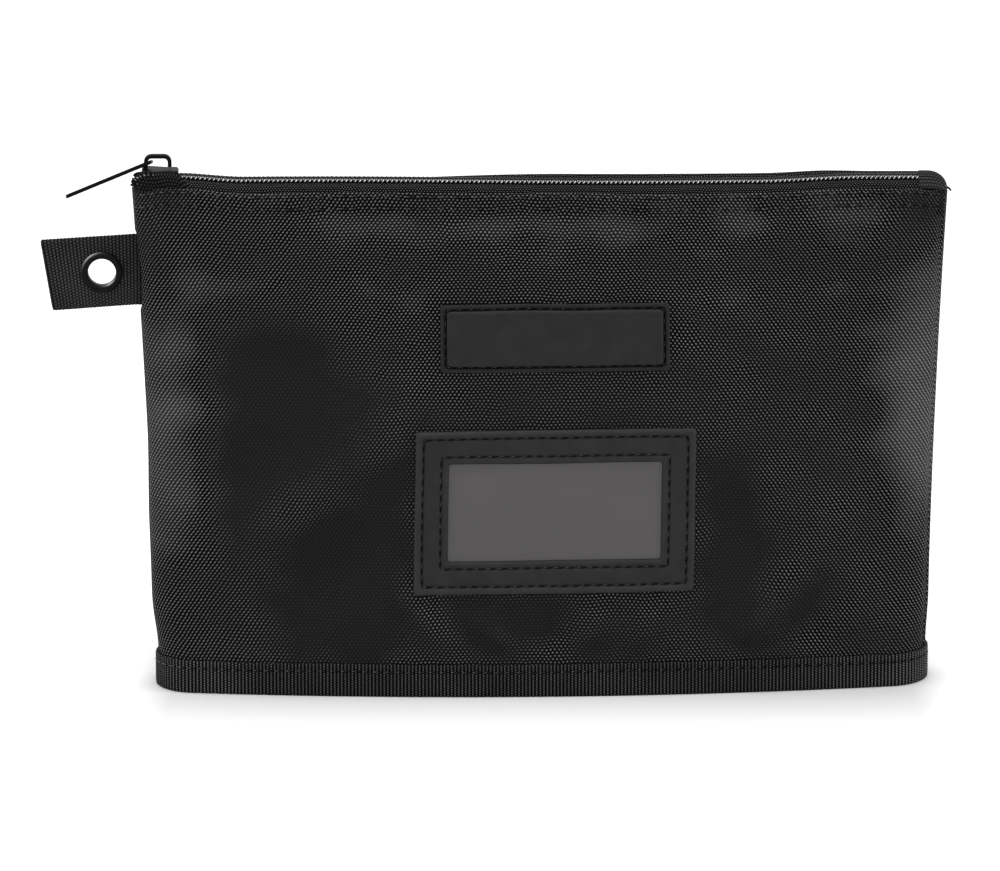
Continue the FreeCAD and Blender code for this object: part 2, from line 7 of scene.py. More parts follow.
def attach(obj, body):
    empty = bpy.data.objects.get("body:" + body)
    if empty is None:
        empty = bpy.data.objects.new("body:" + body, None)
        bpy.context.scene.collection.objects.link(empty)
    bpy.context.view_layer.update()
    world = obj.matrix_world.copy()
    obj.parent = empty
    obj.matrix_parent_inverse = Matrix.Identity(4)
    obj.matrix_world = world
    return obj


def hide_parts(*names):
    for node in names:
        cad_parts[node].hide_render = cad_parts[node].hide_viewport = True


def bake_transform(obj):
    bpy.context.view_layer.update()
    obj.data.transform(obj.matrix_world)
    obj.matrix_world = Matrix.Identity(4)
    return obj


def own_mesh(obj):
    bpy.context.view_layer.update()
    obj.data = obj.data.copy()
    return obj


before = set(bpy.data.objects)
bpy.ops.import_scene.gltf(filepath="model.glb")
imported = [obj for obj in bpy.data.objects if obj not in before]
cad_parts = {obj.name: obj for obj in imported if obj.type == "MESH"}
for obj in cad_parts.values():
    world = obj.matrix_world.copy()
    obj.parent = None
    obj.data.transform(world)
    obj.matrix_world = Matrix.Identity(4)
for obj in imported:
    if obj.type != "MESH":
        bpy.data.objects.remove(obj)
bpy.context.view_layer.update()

MM = 0.001


# The setting: a pale floor that takes the bag's shadow, a white surround, four soft lamps,
# and a long-lens camera a little above the bag, square to its front.
FLOOR_SIZE = 3.0
FLOOR_COLOUR = (0.8, 0.8, 0.8, 1)
FLOOR_LIFT = 0.5
LIFT_END = 0.11
FOOTPRINT = ((0.145, 4.2), (0.022, 0.65))
AMBIENT = 0.3
IMAGE_WIDTH = 1000
MM_PER_PIXEL = 0.392
CAMERA_RANGE = 5.0
CAMERA_ELEVATION = math.radians(15.0)
CAMERA_TARGET = Vector((-16.6, 0.0, 99.0)) * MM
SENSOR = 36.0


def node(tree, kind, inputs=None, **settings):
    """A shader node with its settings, and its inputs set to values or linked to sockets."""
    made = tree.nodes.new(kind)
    for key, value in settings.items():
        setattr(made, key, value)
    for key, value in (inputs or {}).items():
        if isinstance(value, bpy.types.NodeSocket):
            tree.links.new(value, made.inputs[key])
        else:
            made.inputs[key].default_value = value
    return made


def calc(tree, operation, first, second=0.0, third=0.0):
    """The result socket of one sum on sockets or numbers."""
    return node(tree, "ShaderNodeMath", {0: first, 1: second, 2: third}, operation=operation).outputs[0]


def times(tree, first, second):
    """The product of two sockets or numbers."""
    return calc(tree, "MULTIPLY", first, second)


def seen_directly(tree):
    """One where a ray comes from the camera, a reflection or clear material, else nought."""
    path = node(tree, "ShaderNodeLightPath").outputs
    direct = calc(tree, "MAXIMUM", path["Is Camera Ray"], path["Is Glossy Ray"])
    return calc(tree, "MAXIMUM", direct, path["Is Transmission Ray"])


def new_material(name):
    """An empty node material and its tree."""
    material = bpy.data.materials.new(name)
    material.use_nodes = True
    material.node_tree.nodes.clear()
    return material, material.node_tree


def mesh_object(name, points, faces, uvs=None, painted_lights=None):
    """A smooth piece from points in millimetres, with its cloth's flat map and its painted light or shade, if
    given.
    """
    mesh = bpy.data.meshes.new(name)
    mesh.from_pydata([Vector(point) * MM for point in points], [], faces)
    if uvs:
        layer = mesh.uv_layers.new(name="cloth")
        for loop in mesh.loops:
            layer.data[loop.index].uv = uvs[loop.vertex_index]
    if painted_lights:
        mesh.attributes.new("painted_light", "FLOAT", "POINT").data.foreach_set("value", painted_lights)
    mesh.shade_smooth()
    made = bpy.data.objects.new(name, mesh)
    bpy.context.scene.collection.objects.link(made)
    return made


world = bpy.data.worlds.new("surround")
world.use_nodes = True
world_tree = world.node_tree
world_tree.nodes.clear()
dim = node(world_tree, "ShaderNodeBackground", {"Color": (1, 1, 1, 1), "Strength": AMBIENT})
white = node(world_tree, "ShaderNodeBackground", {"Color": (1, 1, 1, 1), "Strength": 1.0})
choose = node(world_tree, "ShaderNodeMixShader",
              {0: seen_directly(world_tree), 1: dim.outputs[0], 2: white.outputs[0]})
node(world_tree, "ShaderNodeOutputWorld", {"Surface": choose.outputs[0]})
bpy.context.scene.world = world

floor_paint, floor_tree = new_material("floor_paint")
matt = node(floor_tree, "ShaderNodeBsdfDiffuse", {"Color": FLOOR_COLOUR})
where = node(floor_tree, "ShaderNodeTexCoord").outputs["Object"]
spot = node(floor_tree, "ShaderNodeSeparateXYZ", {0: where})
past = []
for axis, (half, haste) in enumerate(FOOTPRINT):
    off = calc(floor_tree, "SUBTRACT", calc(floor_tree, "ABSOLUTE", spot.outputs[axis]), half)
    off = times(floor_tree, calc(floor_tree, "MAXIMUM", off, 0.0), haste)
    past.append(calc(floor_tree, "POWER", off, 2.0))
far = calc(floor_tree, "SQRT", calc(floor_tree, "ADD", past[0], past[1]))
# Painted light: for camera rays the floor glows more the farther it lies past the bag's footprint, which cuts
# the bag's shadow short.
lift = node(floor_tree, "ShaderNodeMapRange", {"Value": far, "From Min": 0.0, "From Max": LIFT_END,
                                               "To Min": 0.0, "To Max": FLOOR_LIFT})
glow = node(floor_tree, "ShaderNodeEmission", {"Color": (1, 1, 1, 1), "Strength": lift.outputs[0]})
lifted = node(floor_tree, "ShaderNodeAddShader", {0: matt.outputs[0], 1: glow.outputs[0]})
seen = node(floor_tree, "ShaderNodeMixShader",
            {0: seen_directly(floor_tree), 1: matt.outputs[0], 2: lifted.outputs[0]})
node(floor_tree, "ShaderNodeOutputMaterial", {"Surface": seen.outputs[0]})
reach = FLOOR_SIZE / 2 / MM
floor = mesh_object("floor", [(-reach, -reach, 0), (reach, -reach, 0), (reach, reach, 0), (-reach, reach, 0)],
                    [(0, 1, 2, 3)])
floor.data.materials.append(floor_paint)


def soft_lamp(name, place, aim, size, power):
    """A square area lamp that shines at a point."""
    data = bpy.data.lights.new(name, "AREA")
    data.shape = "SQUARE"
    data.size = size
    data.energy = power
    lamp = bpy.data.objects.new(name, data)
    lamp.location = place
    lamp.rotation_euler = (Vector(aim) - Vector(place)).to_track_quat("-Z", "Y").to_euler()
    bpy.context.scene.collection.objects.link(lamp)


soft_lamp("overhead", (-0.03, 0.05, 1.5), (0, 0, 0.05), 1.0, 20)
soft_lamp("front_fill", (0.3, -1.7, 0.9), (0, 0, 0.1), 1.0, 7)
soft_lamp("left_fill", (-1.5, -0.45, 0.6), (0, 0, 0.1), 0.6, 6)
soft_lamp("right_fill", (1.5, -0.45, 0.6), (0, 0, 0.1), 0.6, 6)

lens = bpy.data.cameras.new("photo_camera")
lens.sensor_width = SENSOR
lens.lens = SENSOR * CAMERA_RANGE / (IMAGE_WIDTH * MM_PER_PIXEL * MM)
lens.clip_end = 4 * CAMERA_RANGE
camera = bpy.data.objects.new("photo_camera", lens)
away = Vector((0, -math.cos(CAMERA_ELEVATION), math.sin(CAMERA_ELEVATION)))
camera.location = CAMERA_TARGET + away * CAMERA_RANGE
camera.rotation_euler = (math.pi / 2 - CAMERA_ELEVATION, 0, 0)
bpy.context.scene.collection.objects.link(camera)
bpy.context.scene.camera = camera
bpy.context.scene.view_settings.view_transform = "Standard"


# The front panel: one piece of coarse black basket-weave nylon, hemmed over at the mouth, sewn to
# the back panel down both sides with the seams turned in, and caught in the binding at its foot.
BASE_WIDTH = 302.0
BASE_DEPTH = 52.0
BASE_TIP = 16.0
MOUTH_WIDTH = 318.4
MOUTH_DEPTH = 19.2
MOUTH_TIP = 9.3
PANEL_TOP = 200.7
PANEL_FOOT = 1.4
BINDING_HEIGHT = 13.2
SIDE_FLARE = 1.35
SIDE_BULGE = 1.0
CLOTH = 0.9
HEM_DEPTH = 11.0
HEM_RADIUS = 0.9
HEM_INSIDE = 1.85
SEAM_TURN = 3.0
SEAM_SHIFT = 2.0
SEAM_GROOVE = 0.9
PANEL_COLUMNS = 200
PANEL_ROWS = 120
TAB_LEVEL = 166.3
TAB_SLOT_HALF = 15.0
TAB_SLOT_GAP = 1.75
BASE_TWIST = 0.034
MOUTH_LEAN = -1.2
LEFT_BULGE = 1.1
FOLD_DEPTH = 1.5
FRONT = -1
BACK = 1


def smooth_step(low, high, value):
    """Eased rise from nought to one between two values."""
    share = min(max((value - low) / (high - low), 0.0), 1.0)
    return share * share * (3 - 2 * share)


def climb(z):
    """Share of the way from the base seam up to the mouth."""
    return min(max((z - BINDING_HEIGHT) / (PANEL_TOP - BINDING_HEIGHT), 0.0), 1.0)


def half_length(z):
    """Half the bag's width at a height; the sides bulge a little over the binding."""
    t = climb(z)
    bulge = SIDE_BULGE * smooth_step(0.0, 0.12, t) * (1 - t) ** 2
    return (BASE_WIDTH + (MOUTH_WIDTH - BASE_WIDTH) * t ** SIDE_FLARE) / 2 + bulge


def boat(z):
    """The bag's outline at a height: half length, half depth, tip radius, long radius, tangent angle."""
    t = climb(z)
    long_half = half_length(z)
    deep_half = (BASE_DEPTH + (MOUTH_DEPTH - BASE_DEPTH) * t) / 2
    tip = BASE_TIP + (MOUTH_TIP - BASE_TIP) * t
    run = long_half - tip
    bow = deep_half - tip
    radius = deep_half + (run ** 2 - bow ** 2) / (2 * bow)
    return long_half, deep_half, tip, radius, math.asin(run / (radius - tip))


def girth(z):
    """Half the length of one side of the outline, from its middle to a tip."""
    tip, radius, tangent = boat(z)[2:]
    return radius * tangent + tip * (math.pi / 2 - tangent)


def outline_point(along, z):
    """Point and outward direction on the front of the outline, at a distance along it from the middle."""
    long_half, deep_half, tip, radius, tangent = boat(z)
    side = 1 if along >= 0 else -1
    run = abs(along)
    if run <= radius * tangent:
        turn = run / radius
        x = radius * math.sin(turn)
        y = radius - deep_half - radius * math.cos(turn)
    else:
        turn = tangent + (run - radius * tangent) / tip
        x = long_half - tip + tip * math.sin(turn)
        y = -tip * math.cos(turn)
    return Vector((side * x, y, z)), Vector((side * math.sin(turn), -math.cos(turn), 0))


def ridge(x, z, start, end, width, height):
    """A soft fold along a line, fading out at both ends."""
    across = Vector((end[0] - start[0], end[1] - start[1]))
    length = across.length
    across /= length
    offset = Vector((x - start[0], z - start[1]))
    along = offset.dot(across)
    off = abs(offset.x * across.y - offset.y * across.x)
    beyond = max(-along, along - length, 0.0)
    fade = math.sin(math.pi * min(max(along / length, 0.03), 0.97)) ** 0.6
    return height * fade * math.exp(-(off / width) ** 2 - (beyond / width) ** 2)


def dent(x, z, centre, spread, depth):
    """A soft hollow, or a swelling if the depth is negative."""
    return -depth * math.exp(-((x - centre[0]) / spread[0]) ** 2 - ((z - centre[1]) / spread[1]) ** 2)


FRONT_FOLDS = (((-122, 52), (-52, 112), 12, 3.4), ((-96, 36), (-70, 74), 12, -2.4),
               ((-138, 60), (-146, 118), 9, 1.6), ((-118, 122), (-60, 138), 17, -2.4),
               ((-128, 78), (-98, 104), 14, -1.8), ((-57, 44), (-34, 14), 6, 2.2),
               ((-28, 34), (-10, 14), 5, 1.8), ((10, 38), (2, 14), 6, -1.2),
               ((22, 36), (16, 15), 5.5, 1.5), ((44, 36), (36, 14), 5.5, 1.6),
               ((76, 16), (104, 50), 8, 2.6), ((96, 14), (122, 42), 8, -1.8),
               ((112, 18), (140, 56), 8, 1.6), ((70, 84), (92, 40), 13, -2.2),
               ((116, 138), (142, 122), 9, 1.2), ((64, 170), (70, 120), 14, 1.4))
FRONT_DENTS = (((-106, 132), (26, 22), 1.8), ((84, 84), (20, 30), 1.6),
               ((-20, 178), (60, 12), -1.3), ((95, 180), (40, 12), -1.0))
CORNER_CREASES = (((-156, 198), (-141, 154), 5, 1.5), ((140, 190), (114, 154), 6, 1.5),
                  ((-150, 198), (-128, 164), 7, -1.2), ((154, 194), (136, 150), 7, -1.2))
EYELET_ROOM = ((-158, TAB_LEVEL), (5, 12), 0.9)


def folded(x, z, folds):
    """How far a set of folds lifts the cloth at a place."""
    return sum(ridge(x, z, *fold) for fold in folds)


def dented(x, z, dents):
    """How far a set of hollows and swellings lifts the cloth at a place."""
    return sum(dent(x, z, *hollow) for hollow in dents)


def front_relief(x, z):
    """How far the front panel stands out of its plain form, in the folds that the empty bag has taken."""
    out = folded(x, z, FRONT_FOLDS) + dented(x, z, FRONT_DENTS)
    out += 0.9 * noise.noise(Vector((x / 46, 3.1, z / 34)))
    out += 0.4 * noise.noise(Vector((x / 17, 7.7, z / 15)))
    creases = folded(x, z, CORNER_CREASES) + dent(x, z, *EYELET_ROOM)
    return FOLD_DEPTH * out * relief_room(x, z) + creases


# Painted shade: fields of the panels whose weave is painted darker and duller.
PAINTED_SHADE_FIELDS = {FRONT: (((-127, 139), (-112, 146), (-83, 140), (-56, 120), (-60, 111), (-120, 57), (-129, 70)),
                       ((-51, 100), (-51, 54), (-55, 34), (-63, 13), (-99, 13), (-110, 40)),
                       ((62, 92), (78, 90), (90, 55), (90, 35), (81, 16), (68, 22), (62, 42)),
                       ((-36, 39), (-20, 39), (-20, 22), (-28, 14)),
                       ((-16, 39), (2, 39), (-2, 24), (-10, 21)))}
PAINTED_SHADE_STRENGTH = {FRONT: 1.0}
# Painted light and shade along a few folds and at a few places: positive is painted shade, negative painted
# brightness.
PAINTED_LIGHT_FOLDS = (((97, 22), (115, 57), 6, 0.5), ((-122, 98), (-70, 112), 5, -0.3))
PAINTED_LIGHT_PLACES = (((7, 111), (50, 11), -0.3), ((5, 28), (62, 14), -0.4), ((-150, 194), (14, 28), -0.5),
                 ((149, 195), (12, 10), -0.9), ((148, 108), (16, 46), 1.3), ((-148, 105), (18, 55), 0.8))


def within(x, z, corners):
    """One inside a field of cloth with soft borders, nought outside; its corners run clockwise."""
    off = -math.inf
    for n, (end_x, end_z) in enumerate(corners):
        start_x, start_z = corners[n - 1]
        run = math.hypot(end_x - start_x, end_z - start_z)
        off = max(off, ((x - start_x) * (start_z - end_z) + (z - start_z) * (end_x - start_x)) / run)
    return smooth_step(10, -13, off + 4 * noise.noise(Vector((x / 14, 8.8, z / 12))))


def panel_painted_shading(x, z, side):
    """Painted shade and light of the weave at a place: one where painted dull and dark, nought where plain,
    less where painted bright.
    """
    relief = front_relief if side == FRONT else back_relief
    # Painted shade: some noise, more lower down, more where a fold faces down, and the painted fields and
    # places.
    painted_shading = 0.05 + 0.35 * noise.noise(Vector((x / 21, 5.2, z / 13))) + 0.25 * smooth_step(170, 110, z)
    painted_shading += 0.9 * (relief(x, z + 2) - relief(x, z - 2)) / 4
    painted_shading += PAINTED_SHADE_STRENGTH[side] * sum(within(x, z, corners) for corners in PAINTED_SHADE_FIELDS[side])
    if side == FRONT:
        painted_shading += folded(x, z, PAINTED_LIGHT_FOLDS) + dented(x, z, PAINTED_LIGHT_PLACES)
    return min(max(painted_shading, -0.8), 1.0)


def relief_room(x, z):
    """Folds die out where the cloth is held: at the binding, the hem and the side seams."""
    held = smooth_step(BINDING_HEIGHT - 2, BINDING_HEIGHT + 12, z)
    held *= smooth_step(PANEL_TOP + 1, PANEL_TOP - 16, z)
    return held * smooth_step(half_length(z), half_length(z) - 26, abs(x))


def mouth_dip(x):
    """How far the empty mouth sags between its two corners, and drops round the corners themselves."""
    left = smooth_step(-141, -112, x)
    right = smooth_step(126, 84, x)
    wave = 0.25 * math.sin(x / 31) - 0.2 * math.sin(x / 13 + 1)
    return -(1.8 + wave) * left * right - 1.3 * smooth_step(147, 154, abs(x))


def panel_point(along, z, side):
    """Point and outward direction on a panel's outer face, folds and sag included."""
    place, out = outline_point(along, z)
    relief = front_relief(place.x, z) if side == FRONT else back_relief(place.x, z)
    place = place + out * relief
    place.z += mouth_dip(place.x) * smooth_step(PANEL_TOP - 60, PANEL_TOP, z)
    if side == BACK:
        place.y = -place.y
        out = Vector((out.x, -out.y, 0))
    place.y += twist(place.x, z)
    place.x += MOUTH_LEAN * climb(z)
    bulge = smooth_step(-90, -140, place.x) * smooth_step(12, 36, z) * smooth_step(105, 62, z)
    place.x -= LEFT_BULGE * bulge
    return place, out


def twist(x, z):
    """The base lies a little turned against the mouth, its left end nearer the front."""
    return BASE_TWIST * x * (1 - climb(z))


def on_front(x, z, stand):
    """Point on the front panel's face above a place given by x and height, and the way it faces."""
    radius = boat(z)[3]
    along = radius * math.asin(min(max(x / radius, -1.0), 1.0))
    place, out = panel_point(along, z, FRONT)
    step = 1.5
    beside = panel_point(along + step, z, FRONT)[0] - panel_point(along - step, z, FRONT)[0]
    above = panel_point(along, z + step, FRONT)[0] - panel_point(along, z - step, FRONT)[0]
    facing = beside.cross(above).normalized()
    return place + facing * stand, facing


def grid_faces(rows, columns, closed=False, ring=False):
    """Quads of a grid of points; closed joins its last column to its first, ring its last row."""
    faces = []
    for row in range(rows if ring else rows - 1):
        low = row * columns
        high = (row + 1) % rows * columns
        for column in range(columns if closed else columns - 1):
            right = (column + 1) % columns
            faces.append((low + column, low + right, high + right, high + column))
    return faces


def panel_rows():
    """Heights of a panel's rows and how far each lies inside it: up the face, over the fold, down the hem."""
    rows = []
    fold = PANEL_TOP - HEM_RADIUS
    for n in range(PANEL_ROWS):
        rows.append((PANEL_FOOT + (fold - PANEL_FOOT) * n / (PANEL_ROWS - 1), 0.0))
    for angle in (35, 70, 110, 145):
        turn = math.radians(angle)
        rows.append((fold + HEM_RADIUS * math.sin(turn), HEM_RADIUS - HEM_RADIUS * math.cos(turn)))
    for n in range(5):
        rows.append((fold - HEM_DEPTH * n / 4, HEM_INSIDE))
    return rows


def thicken(made, thickness, offset=-1, rim=True):
    """Give a sheet its thickness in millimetres, behind its face or to both sides of it."""
    layer = made.modifiers.new("thickness", "SOLIDIFY")
    layer.thickness = thickness * MM
    layer.offset = offset
    layer.use_rim = rim


def fabric_panel(name, side):
    """A panel as one sheet: its face, the fold over the mouth, the hem, and the turned side seams."""
    points = []
    uvs = []
    painted_lights = []
    rows = panel_rows()
    cloth_up = 0.0
    for n, (z, inside) in enumerate(rows):
        if n:
            cloth_up += math.hypot(z - rows[n - 1][0], inside - rows[n - 1][1])
        slot = smooth_step(TAB_SLOT_HALF + 2, TAB_SLOT_HALF - 1, abs(z - TAB_LEVEL))
        half = girth(z) - 0.25
        left_half = half - slot * (TAB_SLOT_GAP - 0.25) + side * SEAM_SHIFT * (1 - slot)
        line = []
        for column in range(PANEL_COLUMNS):
            share = 2 * column / (PANEL_COLUMNS - 1) - 1
            along = share * (half if share > 0 else left_half)
            place, out = panel_point(along, z, side)
            line.append((place - out * inside, along))
        for edge, way in ((0, 1), (len(line) - 1, -1)):
            for step, sink in ((0, SEAM_GROOVE), (way, SEAM_GROOVE / 3)):
                place, along = line[edge + step]
                line[edge + step] = (place - panel_point(along, z, side)[1] * sink, along)
            place, along = line[edge]
            turned = []
            for depth in (SEAM_TURN, SEAM_TURN / 2, 0.5):
                turned.append((place + Vector((way * depth, 0, 0)), along - way * depth))
            line = turned + line if way == 1 else line + turned[::-1]
        points += [place for place, along in line]
        uvs += [(along, cloth_up) for place, along in line]
        # Each point's painted light or shade goes with the panel.
        painted_lights += [panel_painted_shading(place.x, z, side) for place, along in line]
    faces = grid_faces(len(rows), len(points) // len(rows))
    if side == BACK:
        faces = [face[::-1] for face in faces]
    made = mesh_object(name, points, faces, uvs, painted_lights)
    thicken(made, CLOTH)
    return made


def scaled(tree, value, factor, start):
    """A socket times a factor, added to a start."""
    return calc(tree, "MULTIPLY_ADD", value, factor, start)


def cloth_map(tree):
    """Where a point lies on the flat cloth, in millimetres."""
    return node(tree, "ShaderNodeUVMap", uv_map="cloth").outputs[0]


def painted_light(tree):
    """The painted light or shade stored on a piece at a point."""
    return node(tree, "ShaderNodeAttribute", attribute_name="painted_light").outputs["Fac"]


def cloud(tree, where, scale, detail):
    """A cloudy unevenness about one half."""
    return node(tree, "ShaderNodeTexNoise", {"Vector": where, "Scale": scale, "Detail": detail}).outputs[0]


def grey(tone):
    """A plain grey."""
    return (tone, tone, tone, 1)


def mixed(tree, share, dark, highlight_colour):
    """A colour part of the way from dark to light."""
    return node(tree, "ShaderNodeMix", {0: share, 6: dark, 7: highlight_colour}, data_type="RGBA").outputs[2]


def bumped(tree, strength, depth, height):
    """A surface roughened by a height, to a depth in millimetres."""
    inputs = {"Strength": strength, "Distance": depth * MM, "Height": height}
    return node(tree, "ShaderNodeBump", inputs).outputs[0]


def finished(tree, colour, rough, shine, bumps=None):
    """Close a material's tree with its shader."""
    inputs = {"Base Color": colour, "Roughness": rough, "Specular IOR Level": shine}
    if bumps is not None:
        inputs["Normal"] = bumps
    shader = node(tree, "ShaderNodeBsdfPrincipled", inputs)
    node(tree, "ShaderNodeOutputMaterial", {"Surface": shader.outputs[0]})


def weave_material(name, across, up, dark, highlight_colour, rough, relief, slant=0.0):
    """Basket weave: short floats in rows, each half a float out of step, leaning more towards either side;
    the floats' crowns are painted pale as highlights, dulled where painted shade is stored and opened out
    where painted brightness is.
    """
    made, tree = new_material(name)
    where = cloth_map(tree)
    place = node(tree, "ShaderNodeSeparateXYZ", {0: where})
    drift = times(tree, cloud(tree, where, 0.09, 2.0), 2.2)
    row_place = times(tree, calc(tree, "ADD", place.outputs[1], drift), 1 / up)
    shift = times(tree, calc(tree, "PINGPONG", calc(tree, "FLOOR", row_place), 1.0), 0.5)
    float_place = calc(tree, "ADD", times(tree, place.outputs[0], 1 / across), shift)
    cell_x = times(tree, calc(tree, "SUBTRACT", calc(tree, "FRACT", float_place), 0.5), 2.0)
    cell_y = times(tree, calc(tree, "SUBTRACT", calc(tree, "FRACT", row_place), 0.5), 2.0)
    lean = times(tree, place.outputs[0], slant)
    leaning = calc(tree, "ABSOLUTE", lean)
    cell_x = scaled(tree, lean, cell_y, cell_x)
    square_x = times(tree, times(tree, cell_x, cell_x), scaled(tree, leaning, 1.4, 1.25))
    square_y = times(tree, times(tree, cell_y, cell_y), scaled(tree, leaning, -0.8, 1.0))
    crown = calc(tree, "SUBTRACT", 1.0, calc(tree, "ADD", square_x, square_y))
    crown = calc(tree, "SQRT", calc(tree, "MAXIMUM", crown, 0.0))
    fibres = cloud(tree, where, 1.3, 3.0)
    patchy = cloud(tree, where, 0.02, 2.0)
    # Painted shade flattens the painted highlights into a dull grey; painted brightness widens and lifts
    # them.
    painted_shading = painted_light(tree)
    flat = calc(tree, "MAXIMUM", painted_shading, 0.0)
    painted_bright = calc(tree, "MAXIMUM", times(tree, painted_shading, -1.0), 0.0)
    painted_glint_share = calc(tree, "POWER", crown, scaled(tree, painted_bright, -5.5, 9.0))
    for share in (scaled(tree, fibres, 0.9, 0.35), scaled(tree, patchy, 0.5, 0.75),
                  scaled(tree, flat, -0.92, 1.0), scaled(tree, painted_bright, -0.1, 1.0)):
        painted_glint_share = times(tree, painted_glint_share, share)
    painted_glint_share = scaled(tree, flat, 0.038, scaled(tree, painted_bright, 0.14, painted_glint_share))
    gloss = scaled(tree, crown, -0.2, rough + 0.18)
    bumps = bumped(tree, relief, 0.3, scaled(tree, fibres, 0.25, crown))
    finished(tree, mixed(tree, painted_glint_share, dark, highlight_colour), gloss, 0.02, bumps)
    return made


def tube(path, radius, sides):
    """Points and faces of a round rod along a path, closed at both ends."""
    points = []
    up = Vector((0.3, 0.2, 0.93))
    for n, place in enumerate(path):
        heading = (path[min(n + 1, len(path) - 1)] - path[max(n - 1, 0)]).normalized()
        first = heading.cross(up).normalized()
        second = first.cross(heading)
        up = second
        for k in range(sides):
            angle = 2 * math.pi * k / sides
            points.append(place + (first * math.cos(angle) + second * math.sin(angle)) * radius)
    faces = grid_faces(len(path), sides, True)
    faces.append(tuple(range(sides))[::-1])
    faces.append(tuple(range(len(points) - sides, len(points))))
    return points, faces


def painted_highlight_material(name, dark, highlight_tone, way, sharpness, in_painted_spots=False):
    """Black filament or thread with a painted highlight on its side towards one direction, all along it or in
    painted spots.
    """
    made, tree = new_material(name)
    facing = node(tree, "ShaderNodeNewGeometry").outputs["Normal"]
    towards = node(tree, "ShaderNodeVectorMath", {0: facing, 1: Vector(way).normalized()},
                   operation="DOT_PRODUCT")
    painted_light_share = calc(tree, "POWER", calc(tree, "MAXIMUM", towards.outputs["Value"], 0.0), sharpness)
    uneven = cloud(tree, node(tree, "ShaderNodeTexCoord").outputs["Object"], 420.0, 2.0)
    painted_light_share = times(tree, painted_light_share, scaled(tree, uneven, 1.4, 0.3))
    if in_painted_spots:
        painted_light_share = times(tree, painted_light_share, painted_light(tree))
    finished(tree, mixed(tree, painted_light_share, grey(dark), grey(highlight_tone)), 0.35, 0.04)
    return made


STITCH_ARC = ((0.0, -0.35), (0.1, 0.1), (0.3, 0.26), (0.7, 0.26), (0.9, 0.1), (1.0, -0.35))
THREAD_RADIUS = 0.27
THREAD_STAND = 0.15
# Painted highlight on the side of each stitch towards the upper left front.
sewing_thread = painted_highlight_material("sewing_thread", 0.003, 0.3, (-0.6, -0.45, 0.66), 14.0)


def thread_row(name, line, stitch, gap):
    """A row of stitches along a line of (point, facing): short threads that dive in at both ends."""
    marks = [0.0]
    for n in range(1, len(line)):
        marks.append(marks[-1] + (line[n][0] - line[n - 1][0]).length)
    count = int(marks[-1] / (stitch + gap))
    step = marks[-1] / count
    points = []
    faces = []
    for k in range(count):
        path = []
        for share, lift in STITCH_ARC:
            run = k * step + gap / 2 + share * (step - gap)
            n = min(bisect.bisect_right(marks, run), len(marks) - 1)
            part = (run - marks[n - 1]) / (marks[n] - marks[n - 1])
            facing = line[n - 1][1].lerp(line[n][1], part)
            path.append(line[n - 1][0].lerp(line[n][0], part) + facing * lift)
        rod, skin = tube(path, THREAD_RADIUS, 6)
        faces += [tuple(index + len(points) for index in face) for face in skin]
        points += rod
    made = mesh_object(name, points, faces)
    made.data.materials.append(sewing_thread)
    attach(made, "bag")


TOPSTITCH_DROPS = (1.4, 6.3)
TOPSTITCH = 3.3
TOPSTITCH_GAP = 1.0
TOPSTITCH_SHORT = 8.0
TOPSTITCH_POINTS = 240


def topstitch(name, side):
    """The two rows of stitches along a panel's hem."""
    for row, drop in enumerate(TOPSTITCH_DROPS):
        z = PANEL_TOP - drop
        half = girth(z) - TOPSTITCH_SHORT
        line = []
        for n in range(TOPSTITCH_POINTS + 1):
            place, out = panel_point(half * (2 * n / TOPSTITCH_POINTS - 1), z, side)
            line.append((place + out * THREAD_STAND, out))
        thread_row(name + "_" + str(row + 1), line, TOPSTITCH, TOPSTITCH_GAP)


def fasten(made, material, replaced, body="bag"):
    """Give a piece its material and fix it to one of the frame's bodies, in place of a CAD node."""
    made.data.materials.append(material)
    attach(made, body)
    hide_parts(replaced)


# The pale colour is the floats' painted highlight.
panel_cloth = weave_material("panel_cloth", 1.64, 1.19, (0.0005, 0.0005, 0.0006, 1),
                             (0.308, 0.308, 0.316, 1), 0.5, 0.6, 0.004)
front_panel = fabric_panel("front_panel_cloth", FRONT)
fasten(front_panel, panel_cloth, "front_panel")
topstitch("front_topstitch", FRONT)


# The back panel: a second piece of the same basket-weave nylon, hemmed and sewn as the front one is,
# with softer folds of its own and its own two rows of stitches along the hem.
BACK_FOLDS = (((-120, 40), (-50, 120), 16, 2.6), ((110, 30), (40, 110), 16, 2.8),
              ((60, 130), (-40, 150), 18, -2.4), ((-30, 16), (-44, 52), 8, 2.0),
              ((30, 14), (46, 46), 8, 1.8))
# Painted shade fields of the back panel, at less strength.
PAINTED_SHADE_FIELDS[BACK] = (((-122, 150), (-60, 142), (-40, 104), (-92, 70), (-126, 100)),
                     ((48, 92), (100, 84), (112, 30), (60, 15), (38, 50)),
                     ((20, 170), (90, 165), (70, 140), (30, 142)))
PAINTED_SHADE_STRENGTH[BACK] = 0.4


def back_relief(x, z):
    """The folds of the back panel."""
    out = folded(x, z, BACK_FOLDS) + 1.6 * noise.noise(Vector((x / 52, 11.3, z / 40)))
    out += 0.4 * noise.noise(Vector((x / 18, 2.7, z / 16)))
    return out * relief_room(x, z)


back_panel = fabric_panel("back_panel_cloth", BACK)
fasten(back_panel, panel_cloth, "back_panel")
topstitch("back_topstitch", BACK)


